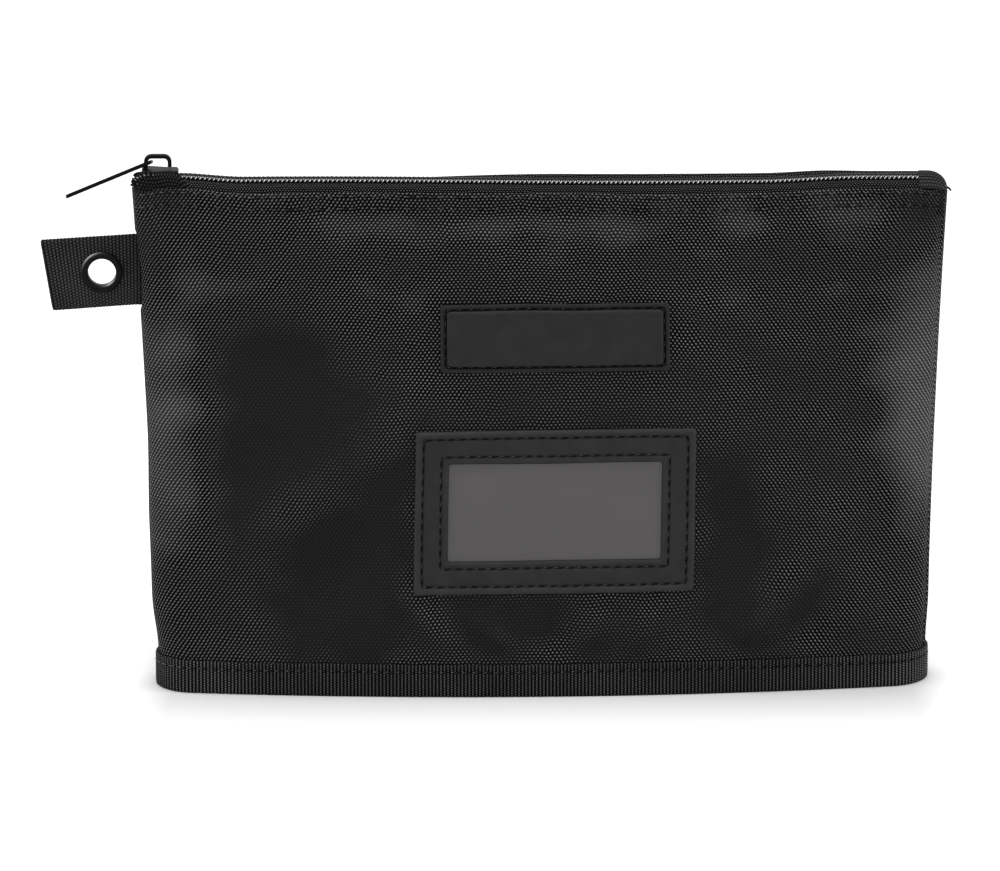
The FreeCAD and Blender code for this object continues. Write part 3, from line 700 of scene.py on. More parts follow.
# The base binding: ribbed tape folded up round the bottom edges of the panels and the base, sewn
# through with one row of stitches. The bag stands on its fold.
BINDING_TAPE = 0.9
BINDING_CLEAR = 0.15
RIB_PITCH = 1.39
RIB_HEIGHT = 0.26
RIB_STEPS = 6
BINDING_INSIDE = 3.2
BINDING_STITCH_DROP = 3.1
STITCH_SINK = 0.3
STITCH_SINK_WIDTH = 0.5


def binding_section(lift):
    """The tape's outer and inner faces as one folded line: (outwards, height, share of rib relief)."""
    top = BINDING_HEIGHT + lift
    face = BINDING_CLEAR + BINDING_TAPE
    line = [(BINDING_CLEAR + 0.2, top - 0.1, 0.0), (BINDING_CLEAR + BINDING_TAPE * 0.8, top, 0.4)]
    for share in (0.93, 0.84, 0.79, 0.765, 0.74, 0.69, 0.6, 0.4, 0.25, 0.13):
        sunk = STITCH_SINK * math.exp(-((top * share - top + BINDING_STITCH_DROP) / STITCH_SINK_WIDTH) ** 2)
        line.append((face - sunk, top * share, 1.0))
    line += [(face - 0.15, 0.35, 1.0), (face - 0.8, 0.0, 0.5), (0.8 - BINDING_INSIDE, 0.0, 0.5)]
    line += [(-BINDING_INSIDE, height, 1.0) for height in (0.4, top * 0.5, top - 0.6)]
    line.append((BINDING_TAPE * 0.7 - BINDING_INSIDE, top - 0.5, 0.0))
    return line


def base_outline():
    """Points and outward directions all round the base, evenly spaced along it from the left tip."""
    half = girth(0)
    count = int(4 * half / RIB_PITCH) * RIB_STEPS
    around = []
    for n in range(count):
        along = 4 * half * n / count
        if along < 2 * half:
            place, out = outline_point(along - half, 0)
        else:
            place, out = outline_point(3 * half - along, 0)
            place = Vector((place.x, -place.y, 0))
            out = Vector((out.x, -out.y, 0))
        place.y += twist(place.x, 0)
        around.append((place, out, along))
    return around


points = []
uvs = []
painted_lights = []
binding_line = []
around = base_outline()
for n, (place, out, along) in enumerate(around):
    rib = math.cos(2 * math.pi * n / RIB_STEPS)
    wander = 0.35 * noise.noise(Vector((along / 37, 0.4, 0.2)))
    for outward, height, relief in binding_section(wander):
        reach = outward + relief * RIB_HEIGHT * (rib - 1) / 2
        points.append(place + out * reach + Vector((0, 0, height)))
        uvs.append((along, height + (20 if outward < 0 else 0)))
        # Painted shade: the binding is darker and duller along the middle of its long sides.
        painted_lights.append(smooth_step(140, 95, abs(place.x)))
    stitch_up = BINDING_HEIGHT + wander - BINDING_STITCH_DROP
    stitch_out = BINDING_CLEAR + BINDING_TAPE - STITCH_SINK
    binding_line.append((place + out * stitch_out + Vector((0, 0, stitch_up)), out))
faces = grid_faces(len(around), len(points) // len(around), True, True)
base_binding = mesh_object("base_binding_tape", points, faces, uvs, painted_lights)
thread_row("binding_stitches", binding_line, TOPSTITCH, TOPSTITCH_GAP)


def ribbed_material(name, pitch, bead, highlight_colour, rough):
    """Ribbed tape: cross threads that bead the ribs; the rib crowns painted pale as highlights and the
    grooves dark as shade, paler in random patches, darker and duller where painted shade is stored.
    """
    made, tree = new_material(name)
    where = cloth_map(tree)
    place = node(tree, "ShaderNodeSeparateXYZ", {0: where})
    rib = calc(tree, "COSINE", times(tree, place.outputs[0], 2 * math.pi / pitch))
    rib = calc(tree, "POWER", scaled(tree, rib, 0.5, 0.5), 3.0)
    step = calc(tree, "FLOOR", scaled(tree, place.outputs[0], 1 / pitch, 0.5))
    half_step = times(tree, calc(tree, "PINGPONG", step, 1.0), bead / 2)
    thread = times(tree, calc(tree, "ADD", place.outputs[1], half_step), 2 * math.pi / bead)
    thread = scaled(tree, calc(tree, "SINE", thread), 0.5, 0.5)
    fuzz = cloud(tree, where, 2.1, 4.0)
    worn = cloud(tree, where, 0.045, 2.0)
    # Painted highlight on the beaded rib crowns, painted shade in the grooves.
    painted_glint_share = rib
    for share in (scaled(tree, thread, 0.85, 0.15), scaled(tree, fuzz, 0.9, 0.5),
                  scaled(tree, worn, 1.0, 0.5), scaled(tree, painted_light(tree), -0.38, 1.0)):
        painted_glint_share = times(tree, painted_glint_share, share)
    bumps = bumped(tree, 0.7, 0.15, scaled(tree, thread, 0.8, fuzz))
    finished(tree, mixed(tree, painted_glint_share, grey(0.0008), highlight_colour), rough, 0.04, bumps)
    return made


binding_cloth = ribbed_material("binding_cloth", RIB_PITCH, 1.0, (0.19, 0.19, 0.192, 1), 0.6)
fasten(base_binding, binding_cloth, "base_binding")


# The base panel: a boat-shaped floor of the same nylon. Its edge is turned up all round and sewn into
# the bound seam with the feet of both panels.
FLOOR_RINGS = 16
FLOOR_INSET = 4.4
FLOOR_WALL = (5.0, 9.5, 13.0)
points = []
uvs = []
around = base_outline()[::10]
for ring in range(FLOOR_RINGS):
    share = 1 - (ring / (FLOOR_RINGS - 1)) ** 1.2 * 0.97
    for place, out, along in around:
        flat = (place - out * FLOOR_INSET) * share
        swell = 0.7 * (1 - share) * (1 + noise.noise(Vector((flat.x / 40, flat.y / 30, 1.5))))
        rise = 1.2 * smooth_step(0.96, 1.0, share)
        points.append((flat.x, flat.y, 0.35 + swell + rise))
        uvs.append((flat.x, flat.y))
wall = [place - out * FLOOR_INSET for place, out, along in around]
for height in FLOOR_WALL:
    points = [(place.x, place.y, height) for place in wall] + points
    uvs = [(place.x, place.y + height) for place in wall] + uvs
faces = grid_faces(FLOOR_RINGS + len(FLOOR_WALL), len(around), True)
base_panel = mesh_object("base_panel_cloth", points, [face[::-1] for face in faces], uvs)
thicken(base_panel, CLOTH)
fasten(base_panel, panel_cloth, "base_panel")


# The side seams: the raw edges of the two nylon panels, laid together and sewn down both sides of the
# bag, and left standing into it when it is turned right side out.
SEAM_LOW = 16.0
SEAM_HIGH = 186.0
SEAM_WIDTH = 9.0
SEAM_INSET = 1.9
SEAM_LAYERS = 2.0
SEAM_ROWS = 60
SEAM_COLUMNS = 6


def side_seam(name, side):
    """Two seam allowances as one wavy strip that stands in from the bag's side."""
    points = []
    uvs = []
    for row in range(SEAM_ROWS):
        z = SEAM_LOW + (SEAM_HIGH - SEAM_LOW) * row / (SEAM_ROWS - 1)
        for column in range(SEAM_COLUMNS):
            depth = SEAM_INSET + SEAM_WIDTH * column / (SEAM_COLUMNS - 1)
            sway = 0.5 * noise.noise(Vector((z / 23, side * 4.0, 0.3))) * column / (SEAM_COLUMNS - 1)
            x = side * (half_length(z) - depth)
            points.append((x, twist(x, z) + sway, z))
            uvs.append((depth, z))
    made = mesh_object(name, points, grid_faces(SEAM_ROWS, SEAM_COLUMNS), uvs)
    thicken(made, SEAM_LAYERS, 0)
    return made


for name, side in (("side_seam_left", -1), ("side_seam_right", 1)):
    fasten(side_seam(name + "_cloth", side), panel_cloth, name)


# The zip tapes: fine woven tape, sewn behind each hem and sloping up to carry its coil. The left ends
# turn down over the bag's corner.
TAPE_SECTION = ((1.75, 202.4), (3.4, 202.3), (4.8, 202.0), (6.0, 201.2), (6.8, 200.0), (7.2, 198.2),
                (7.3, 194.0), (7.3, 189.5))
BACK_SWELL = ((0, 0), (2.2, 0), (1.6, 0.9), (0.9, 2.4), (0.2, 2.2), (0, 0.8), (0, 0), (0, 0))
BACK_HUMP = ((0, 0), (0.6, 0.2), (0.3, 1.6), (0.2, 3.4), (0.1, 3.5), (0, 1.8), (0, 0.3), (0, 0))
CORNER_SWELL = ((0, 0), (1.55, 0.1), (0.95, 3.0), (0.7, 5.0), (0.9, 5.0), (0.7, 4.0), (0.2, 2.0), (0, 0))
CORNER_ROOM = 1.9
# Painted shade on the front tape's swelling at the left corner.
CORNER_PAINTED_SHADE = 0.65
ZIP_TAPE = 0.5
SLOPE_START = 3
TAPE_LEFT = -161.0
TAPE_RIGHT = 156.0
TAPE_STEP = 1.5
COIL_HEART = 203.65
COIL_SPREAD = 2.0
PARTED_X = -154.5
MESH_X = -147.5
TURN_X = -157.5
TURN_RADIUS = 1.8
TURN_ANGLE = math.radians(84)
TURN_HEART = COIL_HEART - TURN_RADIUS
ZIP_PARTS = ((-170.0, 121.6, 0.3), (121.6, 123.4, 0.36), (123.4, 125.2, 0.43), (125.2, 127.0, 0.49),
             (127.0, 128.8, 0.55), (128.8, 130.6, 0.62), (130.6, 132.4, 0.7), (132.4, 134.2, 0.8),
             (134.2, 136.0, 0.91), (136.0, 160.0, 1.0))


def spread(x):
    """How far the slider holds each coil off the middle line at rest."""
    return COIL_SPREAD * smooth_step(MESH_X, PARTED_X, x)


def chain_sag(x):
    """How far the zip hangs between the slider and its sewn right end."""
    left = smooth_step(-142, -116, x)
    right = smooth_step(126, 84, x)
    return -(1.7 + 0.35 * math.sin(x / 36 + 0.8)) * left * right


def corner_room(x):
    """Half the room inside the hems, which narrows round the mouth's corners."""
    past = max(abs(x) - MOUTH_WIDTH / 2 + MOUTH_TIP, 0.0)
    return max(math.sqrt(max(MOUTH_TIP ** 2 - past ** 2, 0.0)) - CORNER_ROOM, 0.6)


def corner_swell(x):
    """How fully the front tape's left end bulges up before the slider."""
    return smooth_step(-137, -143, x) * smooth_step(-160.5, -156.5, max(x, TURN_X))


def tape_point(x, n, side):
    """A point of the tape's section at a place along the zip; left of the turn, x runs on down the corner.

    Only the flange beside the coil turns down. The slope and the sewn leg end at the turn.
    """
    out, z = TAPE_SECTION[n]
    level = max(x, TURN_X)
    room = corner_room(level)
    if side == FRONT:
        swell = corner_swell(level)
        swell_out, swell_up = CORNER_SWELL[n]
        room += CORNER_ROOM * swell
    else:
        swell = smooth_step(-100, 10, x) * smooth_step(153, 147, x)
        hump = smooth_step(128, 104, x)
        pairs = zip(BACK_SWELL[n], BACK_HUMP[n])
        swell_out, swell_up = (end + (middle - end) * hump for end, middle in pairs)
    y = out + spread(level) * max(1 - n / 4, 0.0) + swell * swell_out
    z += swell * swell_up
    if n >= SLOPE_START:
        return Vector((level, side * min(y, room), z + chain_sag(x)))
    past = level - x
    turn = min(past / TURN_RADIUS, TURN_ANGLE)
    high = z - TURN_HEART
    drop = max(past - TURN_RADIUS * TURN_ANGLE, 0.0)
    return Vector((level - high * math.sin(turn), side * y,
                   TURN_HEART + high * math.cos(turn) - drop + chain_sag(x)))


def zip_tape(name, side, low, high):
    """A stretch of tape as a strip of cloth: the flange beside the coil, the slope, and the sewn leg."""
    low = max(low, TAPE_LEFT)
    high = min(high, TAPE_RIGHT)
    columns = int((high - low) / TAPE_STEP) + 2
    points = []
    uvs = []
    painted_lights = []
    for column in range(columns):
        x = low + (high - low) * column / (columns - 1)
        run = 0.0
        for n in range(len(TAPE_SECTION)):
            if n:
                run += math.dist(TAPE_SECTION[n], TAPE_SECTION[n - 1])
            points.append(tape_point(x, n, side))
            uvs.append((x, run))
            # Painted shade where the front tape swells at the left corner.
            painted_lights.append(CORNER_PAINTED_SHADE * corner_swell(x) if side == FRONT else 0.0)
    faces = grid_faces(columns, len(TAPE_SECTION))
    if side == FRONT:
        faces = [face[::-1] for face in faces]
    made = mesh_object(name, points, faces, uvs, painted_lights)
    thicken(made, ZIP_TAPE, rim=False)
    return made


def zip_piece(made, node_name, part, keep):
    """Fix a stretch of the zip to the bag; a stretch with a keep below one gets a mesh of its own."""
    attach(made, "bag")
    if keep < 1:
        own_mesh(made)
    if part == 0:
        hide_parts(node_name)


# The pale colour is the tape floats' painted highlight.
zip_tape_cloth = weave_material("zip_tape_cloth", 1.15, 0.85, grey(0.0006), (0.15, 0.15, 0.153, 1), 0.6, 0.5)
for name, side in (("zip_tape_front", FRONT), ("zip_tape_back", BACK)):
    for part, (low, high, keep) in enumerate(ZIP_PARTS):
        tape = zip_tape(name + "_cloth_" + str(part + 1), side, low, high)
        tape.data.materials.append(zip_tape_cloth)
        zip_piece(tape, name, part, keep)


# The zip coils: two nylon filaments wound flat, sewn to the tapes, with their turns interlocked along
# the middle. Their left ends part in front of the slider and turn down over the bag's corner.
COIL_PITCH = 1.78
COIL_MIDDLE = 1.05
COIL_HALF = 1.45
COIL_HALF_HEIGHT = 0.65
COIL_SQUARENESS = 0.7
COIL_LEAN = 0.4
FILAMENT = 0.4
COIL_STEPS = 14
COIL_LEFT = TURN_X - TURN_RADIUS * TURN_ANGLE
COIL_RIGHT = 148.0
CORD_SIDES = 12
CORD_SWELL = {FRONT: 0.0, BACK: 0.27}
FILAMENT_SIDES = 8
# Painted glints: where round each turn of the front filament, how wide, and on which side of the cord and
# tail a pale spot is painted.
GLINT_ANGLE = 0.15
GLINT_WIDTH = 0.6
CORD_GLINT = 2
TAIL_GLINT = 2.6
COIL_TAIL = ((-150.9, -7.4, 206.3), (-154.5, -7.4, 206.4), (-157.6, -6.6, 205.3), (-159.3, -5.4, 203.4),
             (-159.7, -4.8, 201.0))
TAIL_TURNS = 8


def flattened(value):
    """A sine or cosine pressed towards a square wave."""
    return math.copysign(abs(value) ** COIL_SQUARENESS, value)


def coil_place(x, side, angle, thicker=0.0):
    """Point of the filament at a place along the zip and an angle round the coil."""
    level = max(x, TURN_X)
    across = side * (COIL_MIDDLE + COIL_HALF * flattened(math.cos(angle)) + spread(level))
    high = (COIL_HALF_HEIGHT + thicker) * flattened(math.sin(angle))
    turn = (level - x) / TURN_RADIUS
    radius = TURN_RADIUS + high
    lean = COIL_LEAN * high if x > TURN_X else 0.0
    return Vector((level + lean - radius * math.sin(turn), across,
                   TURN_HEART + radius * math.cos(turn) + chain_sag(x)))


def painted_glint_spot(angle, middle):
    """How strong the painted glint on a turn of the coil is at an angle round it, in a spot about one angle.
    """
    off = (angle - middle + math.pi) % (2 * math.pi) - math.pi
    return max(1 - (off / GLINT_WIDTH) ** 2, 0.0)


def zip_coil(name, side, low, high):
    """A stretch of one filament as a flat helix of whole turns, wound on a black cord."""
    lead = COIL_LEFT + (COIL_PITCH / 2 if side == BACK else 0.0)
    first = max(math.ceil((max(low, COIL_LEFT) - lead) / COIL_PITCH - 0.01), 0)
    last = math.ceil((min(high, COIL_RIGHT) - lead) / COIL_PITCH - 0.01)
    path = []
    painted_lights = []
    for n in range(first * COIL_STEPS, last * COIL_STEPS + 1):
        share = n / COIL_STEPS
        path.append(coil_place(lead + share * COIL_PITCH, side, 2 * math.pi * share))
        # Painted glint spots on the front filament only.
        spot = painted_glint_spot(2 * math.pi * share, GLINT_ANGLE) if side == FRONT else 0.0
        painted_lights += [spot] * FILAMENT_SIDES
    points, faces = tube(path, FILAMENT, FILAMENT_SIDES)
    start = len(points)
    stations = 4 * (last - first) + 1
    for n in range(stations):
        x = lead + (first + n / 4) * COIL_PITCH
        for k in range(CORD_SIDES):
            points.append(coil_place(x, side, 2 * math.pi * k / CORD_SIDES, CORD_SWELL[side]))
            # A painted glint on the front cord midway between turns.
            painted_lights.append(1.0 if side == FRONT and n % 4 == 2 and k == CORD_GLINT else 0.0)
    turns = len(faces)
    faces += [tuple(index + start for index in face) for face in grid_faces(stations, CORD_SIDES, True)]
    made = mesh_object(name, points, faces, painted_lights=painted_lights)
    made.data.materials.append(coil_nylon)
    made.data.materials.append(coil_cord)
    for face in made.data.polygons[turns:]:
        face.material_index = 1
    return made


# Painted highlights: pale on the front of the filament and the cord, only in the painted glint spots.
coil_nylon = painted_highlight_material("coil_nylon", 0.003, 1.0, (-0.1, -0.87, 0.49), 4.0, True)
coil_cord = painted_highlight_material("coil_cord", 0.002, 0.9, (-0.1, -0.75, 0.66), 2.0, True)
for name, side in (("zip_coil_front", FRONT), ("zip_coil_back", BACK)):
    for part, (low, high, keep) in enumerate(ZIP_PARTS):
        coil = zip_coil(name + "_filament_" + str(part + 1), side, low, high)
        zip_piece(coil, name, part, keep)

tail_path = []
tail_painted_lights = []
for n in range(TAIL_TURNS * COIL_STEPS + 1):
    share = n / (TAIL_TURNS * COIL_STEPS) * (len(COIL_TAIL) - 1)
    leg = min(int(share), len(COIL_TAIL) - 2)
    start = Vector(COIL_TAIL[leg])
    end = Vector(COIL_TAIL[leg + 1])
    outward = (end - start).cross(Vector((0, 1, 0))).normalized()
    angle = 2 * math.pi * n / COIL_STEPS
    tail_place = start.lerp(end, share - leg) + outward * COIL_HALF_HEIGHT * math.sin(angle)
    tail_path.append(tail_place + Vector((0, COIL_HALF_HEIGHT * math.cos(angle), 0)))
    # Painted glint spots on the tail's turns.
    tail_painted_lights += [painted_glint_spot(angle, TAIL_GLINT)] * FILAMENT_SIDES
tail_points, tail_faces = tube(tail_path, FILAMENT, FILAMENT_SIDES)
coil_tail = mesh_object("zip_coil_front_tail", tail_points, tail_faces, painted_lights=tail_painted_lights)
coil_tail.data.materials.append(coil_nylon)
zip_piece(coil_tail, "zip_coil_front", 1, ZIP_PARTS[0][2])


# The zip's end cover: a scrap of ribbed tape sewn over the chain's right end, arched across it and
# rolling down over the corner, with a thread end left sticking out.
COVER_LEFT = 146.6
COVER_BEND = 150.0
COVER_RIGHT = 157.2
COVER_HALF = 7.2
COVER_FOOT = 200.0
COVER_RISE = 5.0
COVER_RIBS = 12
COVER_ROWS = 30
COVER_SWEEP = math.radians(84)
COVER_TURN = math.radians(88)
COVER_FLAT = 0.3
COVER_RIB = 0.035
COVER_DROP = 1.2
COVER_TAPE = 0.6
RIB_POINTS = 6
CORNER_THREAD = ((154.0, -1.2, 200.6), (156.9, -1.6, 200.2), (158.4, -2.0, 199.4), (159.2, -2.2, 198.4))
CORNER_THREAD_RADIUS = 0.4
points = []
uvs = []
cover_columns = COVER_RIBS * RIB_POINTS + 1
for row in range(COVER_ROWS):
    share = row / (COVER_ROWS - 1)
    bend = COVER_TURN * max(share - COVER_FLAT, 0.0) / (1 - COVER_FLAT)
    x = COVER_LEFT + (COVER_BEND - COVER_LEFT) * min(share / COVER_FLAT, 1.0)
    x += (COVER_RIGHT - COVER_BEND) * math.sin(bend)
    for column in range(cover_columns):
        sweep = COVER_SWEEP * (2 * column / (cover_columns - 1) - 1)
        rib = 1 + COVER_RIB * math.cos(2 * math.pi * column / RIB_POINTS)
        y = COVER_HALF * math.sin(sweep) * rib * (0.6 + 0.4 * math.cos(bend))
        z = COVER_FOOT + COVER_RISE * math.cos(sweep) * rib * math.cos(bend)
        z -= COVER_DROP * (1 - math.cos(bend))
        points.append((x, y, z))
        uvs.append((COVER_HALF * sweep, x))
zip_end_cover = mesh_object("zip_end_cover_tape", points, grid_faces(COVER_ROWS, cover_columns), uvs)
thicken(zip_end_cover, COVER_TAPE)
cover_pitch = 2 * COVER_HALF * COVER_SWEEP / COVER_RIBS
cover_cloth = ribbed_material("cover_cloth", cover_pitch, 1.0, (0.056, 0.056, 0.057, 1), 0.55)
fasten(zip_end_cover, cover_cloth, "zip_end_cover")
thread_points, thread_faces = tube([Vector(place) for place in CORNER_THREAD], CORNER_THREAD_RADIUS, 7)
thread_end = mesh_object("zip_end_thread", thread_points, thread_faces)
thread_end.data.materials.append(sewing_thread)
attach(thread_end, "bag")


# The zip slider: die-cast, black enamelled; two plates joined by a divider hold the coils between
# them, and a hooked crown on top carries the pull. Casting has rounded all its edges.
CAST_GRAIN = 0.15
ENAMEL_DARK = grey(0.003)
ENAMEL_LIGHT = (0.007, 0.007, 0.0071, 1)
enamel, enamel_tree = new_material("black_enamel")
flow = cloud(enamel_tree, node(enamel_tree, "ShaderNodeTexCoord").outputs["Object"], 260.0, 4.0)
shade = mixed(enamel_tree, flow, ENAMEL_DARK, ENAMEL_LIGHT)
gloss = scaled(enamel_tree, flow, 0.2, 0.24)
finished(enamel_tree, shade, gloss, 0.04, bumped(enamel_tree, 0.15, 0.05, flow))


def cast_edges(piece, passes):
    """Round a hard solid's edges as casting and enamel do."""
    cast = piece.modifiers.new("cast_skin", "REMESH")
    cast.mode = "VOXEL"
    cast.voxel_size = CAST_GRAIN * MM
    cast.use_smooth_shade = True
    soft = piece.modifiers.new("cast_edges", "SMOOTH")
    soft.factor = 0.5
    soft.iterations = passes


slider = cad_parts["zip_slider"]
slider.data.materials.clear()
slider.data.materials.append(enamel)
cast_edges(slider, 6)


# The zip pull: a flat cast tag, black enamelled, hung by its bar in the slider's crown. It hangs a
# little rolled about its own length, as a loose tag does.
PULL_PIVOT = Vector((-152.8, 0, 209.35)) * MM
PULL_SLOPE = math.radians(22.9)
PULL_ROLL = math.radians(12.5)
pull_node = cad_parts["zip_pull"]
tag = pull_node.data.copy()
tag.name = "zip_pull_tag"
tag.transform(pull_node.matrix_world)
length_way = Vector((-math.cos(PULL_SLOPE), 0, -math.sin(PULL_SLOPE)))
tag.transform(Matrix.Translation(PULL_PIVOT) @ Matrix.Rotation(PULL_ROLL, 4, length_way)
              @ Matrix.Translation(-PULL_PIVOT))
tag.materials.clear()
pull = bpy.data.objects.new("zip_pull_tag", tag)
bpy.context.scene.collection.objects.link(pull)
cast_edges(pull, 3)
fasten(pull, enamel, "zip_pull", body="pull")


# The card film: clear plastic film gone hazy, laid over the front panel and caught all round under the
# sewn frame, so that it stands a little off the cloth.
CARD_X = 5.2
CARD_Z = 73.6
FRAME_HALF = (54.8, 32.4)
WINDOW_HALF = (41.6, 19.2)
CARD_LEAN = 0.009
CARD_SHEAR = 0.022
FILM_TUCK = 5.0
FILM_HELD = 2.0
FILM_STAND = 0.3
FILM_BULGE = 0.35
FILM_ROWS = 24
FILM_COLUMNS = 48


def card_place(across, up, stand):
    """Point over the front panel in the card pocket's own directions, which lean a little."""
    return on_front(CARD_X + across + up * CARD_SHEAR, CARD_Z + up + across * CARD_LEAN, stand)


points = []
uvs = []
for row in range(FILM_ROWS):
    up = (2 * row / (FILM_ROWS - 1) - 1) * (WINDOW_HALF[1] + FILM_TUCK)
    for column in range(FILM_COLUMNS):
        across = (2 * column / (FILM_COLUMNS - 1) - 1) * (WINDOW_HALF[0] + FILM_TUCK)
        bulge = max(1 - (across / (WINDOW_HALF[0] + FILM_HELD)) ** 2, 0.0)
        bulge *= max(1 - (up / (WINDOW_HALF[1] + FILM_HELD)) ** 2, 0.0)
        sag = 0.5 * math.exp(-((up + 15.5) / 3.4) ** 2)
        points.append(card_place(across, up, FILM_STAND + FILM_BULGE * bulge + sag * bulge ** 0.4)[0])
        uvs.append((across, up))
card_film = mesh_object("card_film_sheet", points, grid_faces(FILM_ROWS, FILM_COLUMNS), uvs)
film_plastic, film_tree = new_material("hazy_film")
stretched = node(film_tree, "ShaderNodeMapping", {"Vector": cloth_map(film_tree), "Scale": (0.05, 0.9, 1.0)})
scuffs = cloud(film_tree, stretched.outputs[0], 1.0, 5.0)
haze = mixed(film_tree, scuffs, (0.072, 0.068, 0.071, 1), (0.088, 0.083, 0.086, 1))
gloss = scaled(film_tree, scuffs, 0.2, 0.22)
finished(film_tree, haze, gloss, 0.25, bumped(film_tree, 0.15, 0.2, scuffs))
fasten(card_film, film_plastic, "card_film")


# The card frame: imitation leather with its edges turned under, sewn round the outside and again
# round the window.
# Each point's last number is painted light: pale on the turned edges as a painted highlight, dark in the
# stitch grooves as painted shade.
FRAME_PROFILE = ((0.0, 0.1, 0.0), (0.0, 1.0, 0.5), (0.25, 1.6, 0.9), (0.7, 1.95, 0.5), (1.6, 2.0, 0.3),
                 (2.4, 1.7, 0.2), (2.8, 1.2, -0.2), (3.1, 0.95, -0.6), (3.4, 1.15, -0.2), (3.9, 1.4, 0.0),
                 (5.0, 1.45, 0.0), (7.0, 1.45, 0.0), (9.0, 1.45, 0.0), (9.7, 1.35, 0.0), (10.0, 1.1, -0.3),
                 (10.2, 0.95, -0.6), (10.4, 1.1, -0.3), (10.9, 1.35, 0.0), (11.7, 1.5, 0.1),
                 (12.5, 1.45, 0.3), (13.0, 1.05, 0.1), (13.15, 0.5, -0.6), (12.7, 0.42, -0.9))
FRAME_COUNTS = (56, 34)
FRAME_CORNER = 0.8
FRAME_SEAMS = (("outer", 3.1), ("window", 10.2))
FRAME_SEAM_STAND = 1.05
RING_STITCH = 3.2
RING_STITCH_GAP = 1.2


def ring_line(half_x, half_y, counts, corner):
    """Points round a rectangle with eased corners, starting at its lower left."""
    corners = ((-half_x, -half_y), (half_x, -half_y), (half_x, half_y), (-half_x, half_y))
    line = []
    for k, (start_x, start_y) in enumerate(corners):
        end_x, end_y = corners[(k + 1) % 4]
        count = counts[k % 2]
        for n in range(count):
            x = start_x + (end_x - start_x) * n / count
            y = start_y + (end_y - start_y) * n / count
            past_x = max(abs(x) - half_x + corner, 0.0)
            past_y = max(abs(y) - half_y + corner, 0.0)
            reach = math.hypot(past_x, past_y)
            pull_in = (1 - corner / reach) if reach > corner else 0.0
            line.append((x - math.copysign(past_x * pull_in, x), y - math.copysign(past_y * pull_in, y)))
    return line


def sewn_ring(name, half, profile, place, counts, corner):
    """A flat ring whose section follows a profile: (distance in from the edge, height, painted light or
    shade).
    """
    points = []
    uvs = []
    painted_lights = []
    for inset, stand, painted_light_share in profile:
        for x, y in ring_line(half[0] - inset, half[1] - inset, counts, corner):
            points.append(place(x, y, stand)[0])
            uvs.append((x, y))
            painted_lights.append(painted_light_share)
    return mesh_object(name, points, grid_faces(len(profile), 2 * sum(counts), True), uvs, painted_lights)


def ring_stitches(name, half, inset, stand, place, counts):
    """A row of stitches round a sewn ring, at a distance in from its edge."""
    line = [place(x, y, stand) for x, y in ring_line(half[0] - inset, half[1] - inset, counts, FRAME_CORNER)]
    thread_row(name, line + line[:1], RING_STITCH, RING_STITCH_GAP)


def grained_material(name, tone, rough, scale, depth):
    """Soft black skin with a fine pebbled grain, faint random rubbed patches, and painted light or shade
    where stored.
    """
    made, tree = new_material(name)
    where = cloth_map(tree)
    pebble = node(tree, "ShaderNodeTexVoronoi", {"Vector": where, "Scale": scale}, feature="SMOOTH_F1")
    rub = cloud(tree, where, 0.12, 3.0)
    # The stored painted light lightens or darkens the skin.
    share = scaled(tree, painted_light(tree), 0.3, scaled(tree, rub, 0.3, 0.18))
    shade = mixed(tree, share, grey(tone * 0.1), (tone * 3, tone * 3, tone * 3.1, 1))
    gloss = scaled(tree, rub, 0.16, rough - 0.08)
    finished(tree, shade, gloss, 0.1, bumped(tree, depth, 0.08, pebble.outputs[0]))
    return made


card_frame = sewn_ring("card_frame_vinyl", FRAME_HALF, FRAME_PROFILE, card_place, FRAME_COUNTS, FRAME_CORNER)
for label, inset in FRAME_SEAMS:
    ring_stitches("card_frame_" + label + "_stitches", FRAME_HALF, inset, FRAME_SEAM_STAND, card_place,
                  FRAME_COUNTS)
fasten(card_frame, grained_material("frame_vinyl", 0.0193, 0.5, 2.2, 0.35), "card_frame")


# The moulded patch: soft black rubber, cast in one with a rim, a sunk line for the stitches and a raised
# plain field, and sewn to the front panel along that line.
PATCH_X = 5.8
PATCH_Z = 142.6
PATCH_HALF = (44.8, 13.6)
PATCH_LEAN = 0.009
# Each point's last number is painted light: pale at the raised field's edge as a painted highlight, dark on
# the rim and in the sunk line as painted shade.
PATCH_PROFILE = ((0.0, 0.1, -0.9), (0.0, 1.0, -0.3), (0.12, 1.25, 0.0), (0.4, 1.4, -0.2), (1.4, 1.4, -0.4),
                 (1.65, 1.25, -0.6), (1.75, 0.85, -0.9), (2.3, 0.8, -0.9), (2.45, 1.0, -0.9),
                 (2.55, 1.6, -0.5), (2.75, 1.95, 0.3), (3.6, 2.2, 0.0), (3.9, 2.25, 0.0))
PATCH_COUNTS = (60, 18)
PATCH_CORNER = 1.3
PATCH_SEAM = 2.05
PATCH_SEAM_STAND = 0.8
FIELD_ROWS = 13
FIELD_COLUMNS = 53
FIELD_OVERLAP = 0.05


def patch_place(across, up, stand):
    """Point over the front panel in the patch's own directions."""
    return on_front(PATCH_X + across, PATCH_Z + up + across * PATCH_LEAN, stand)


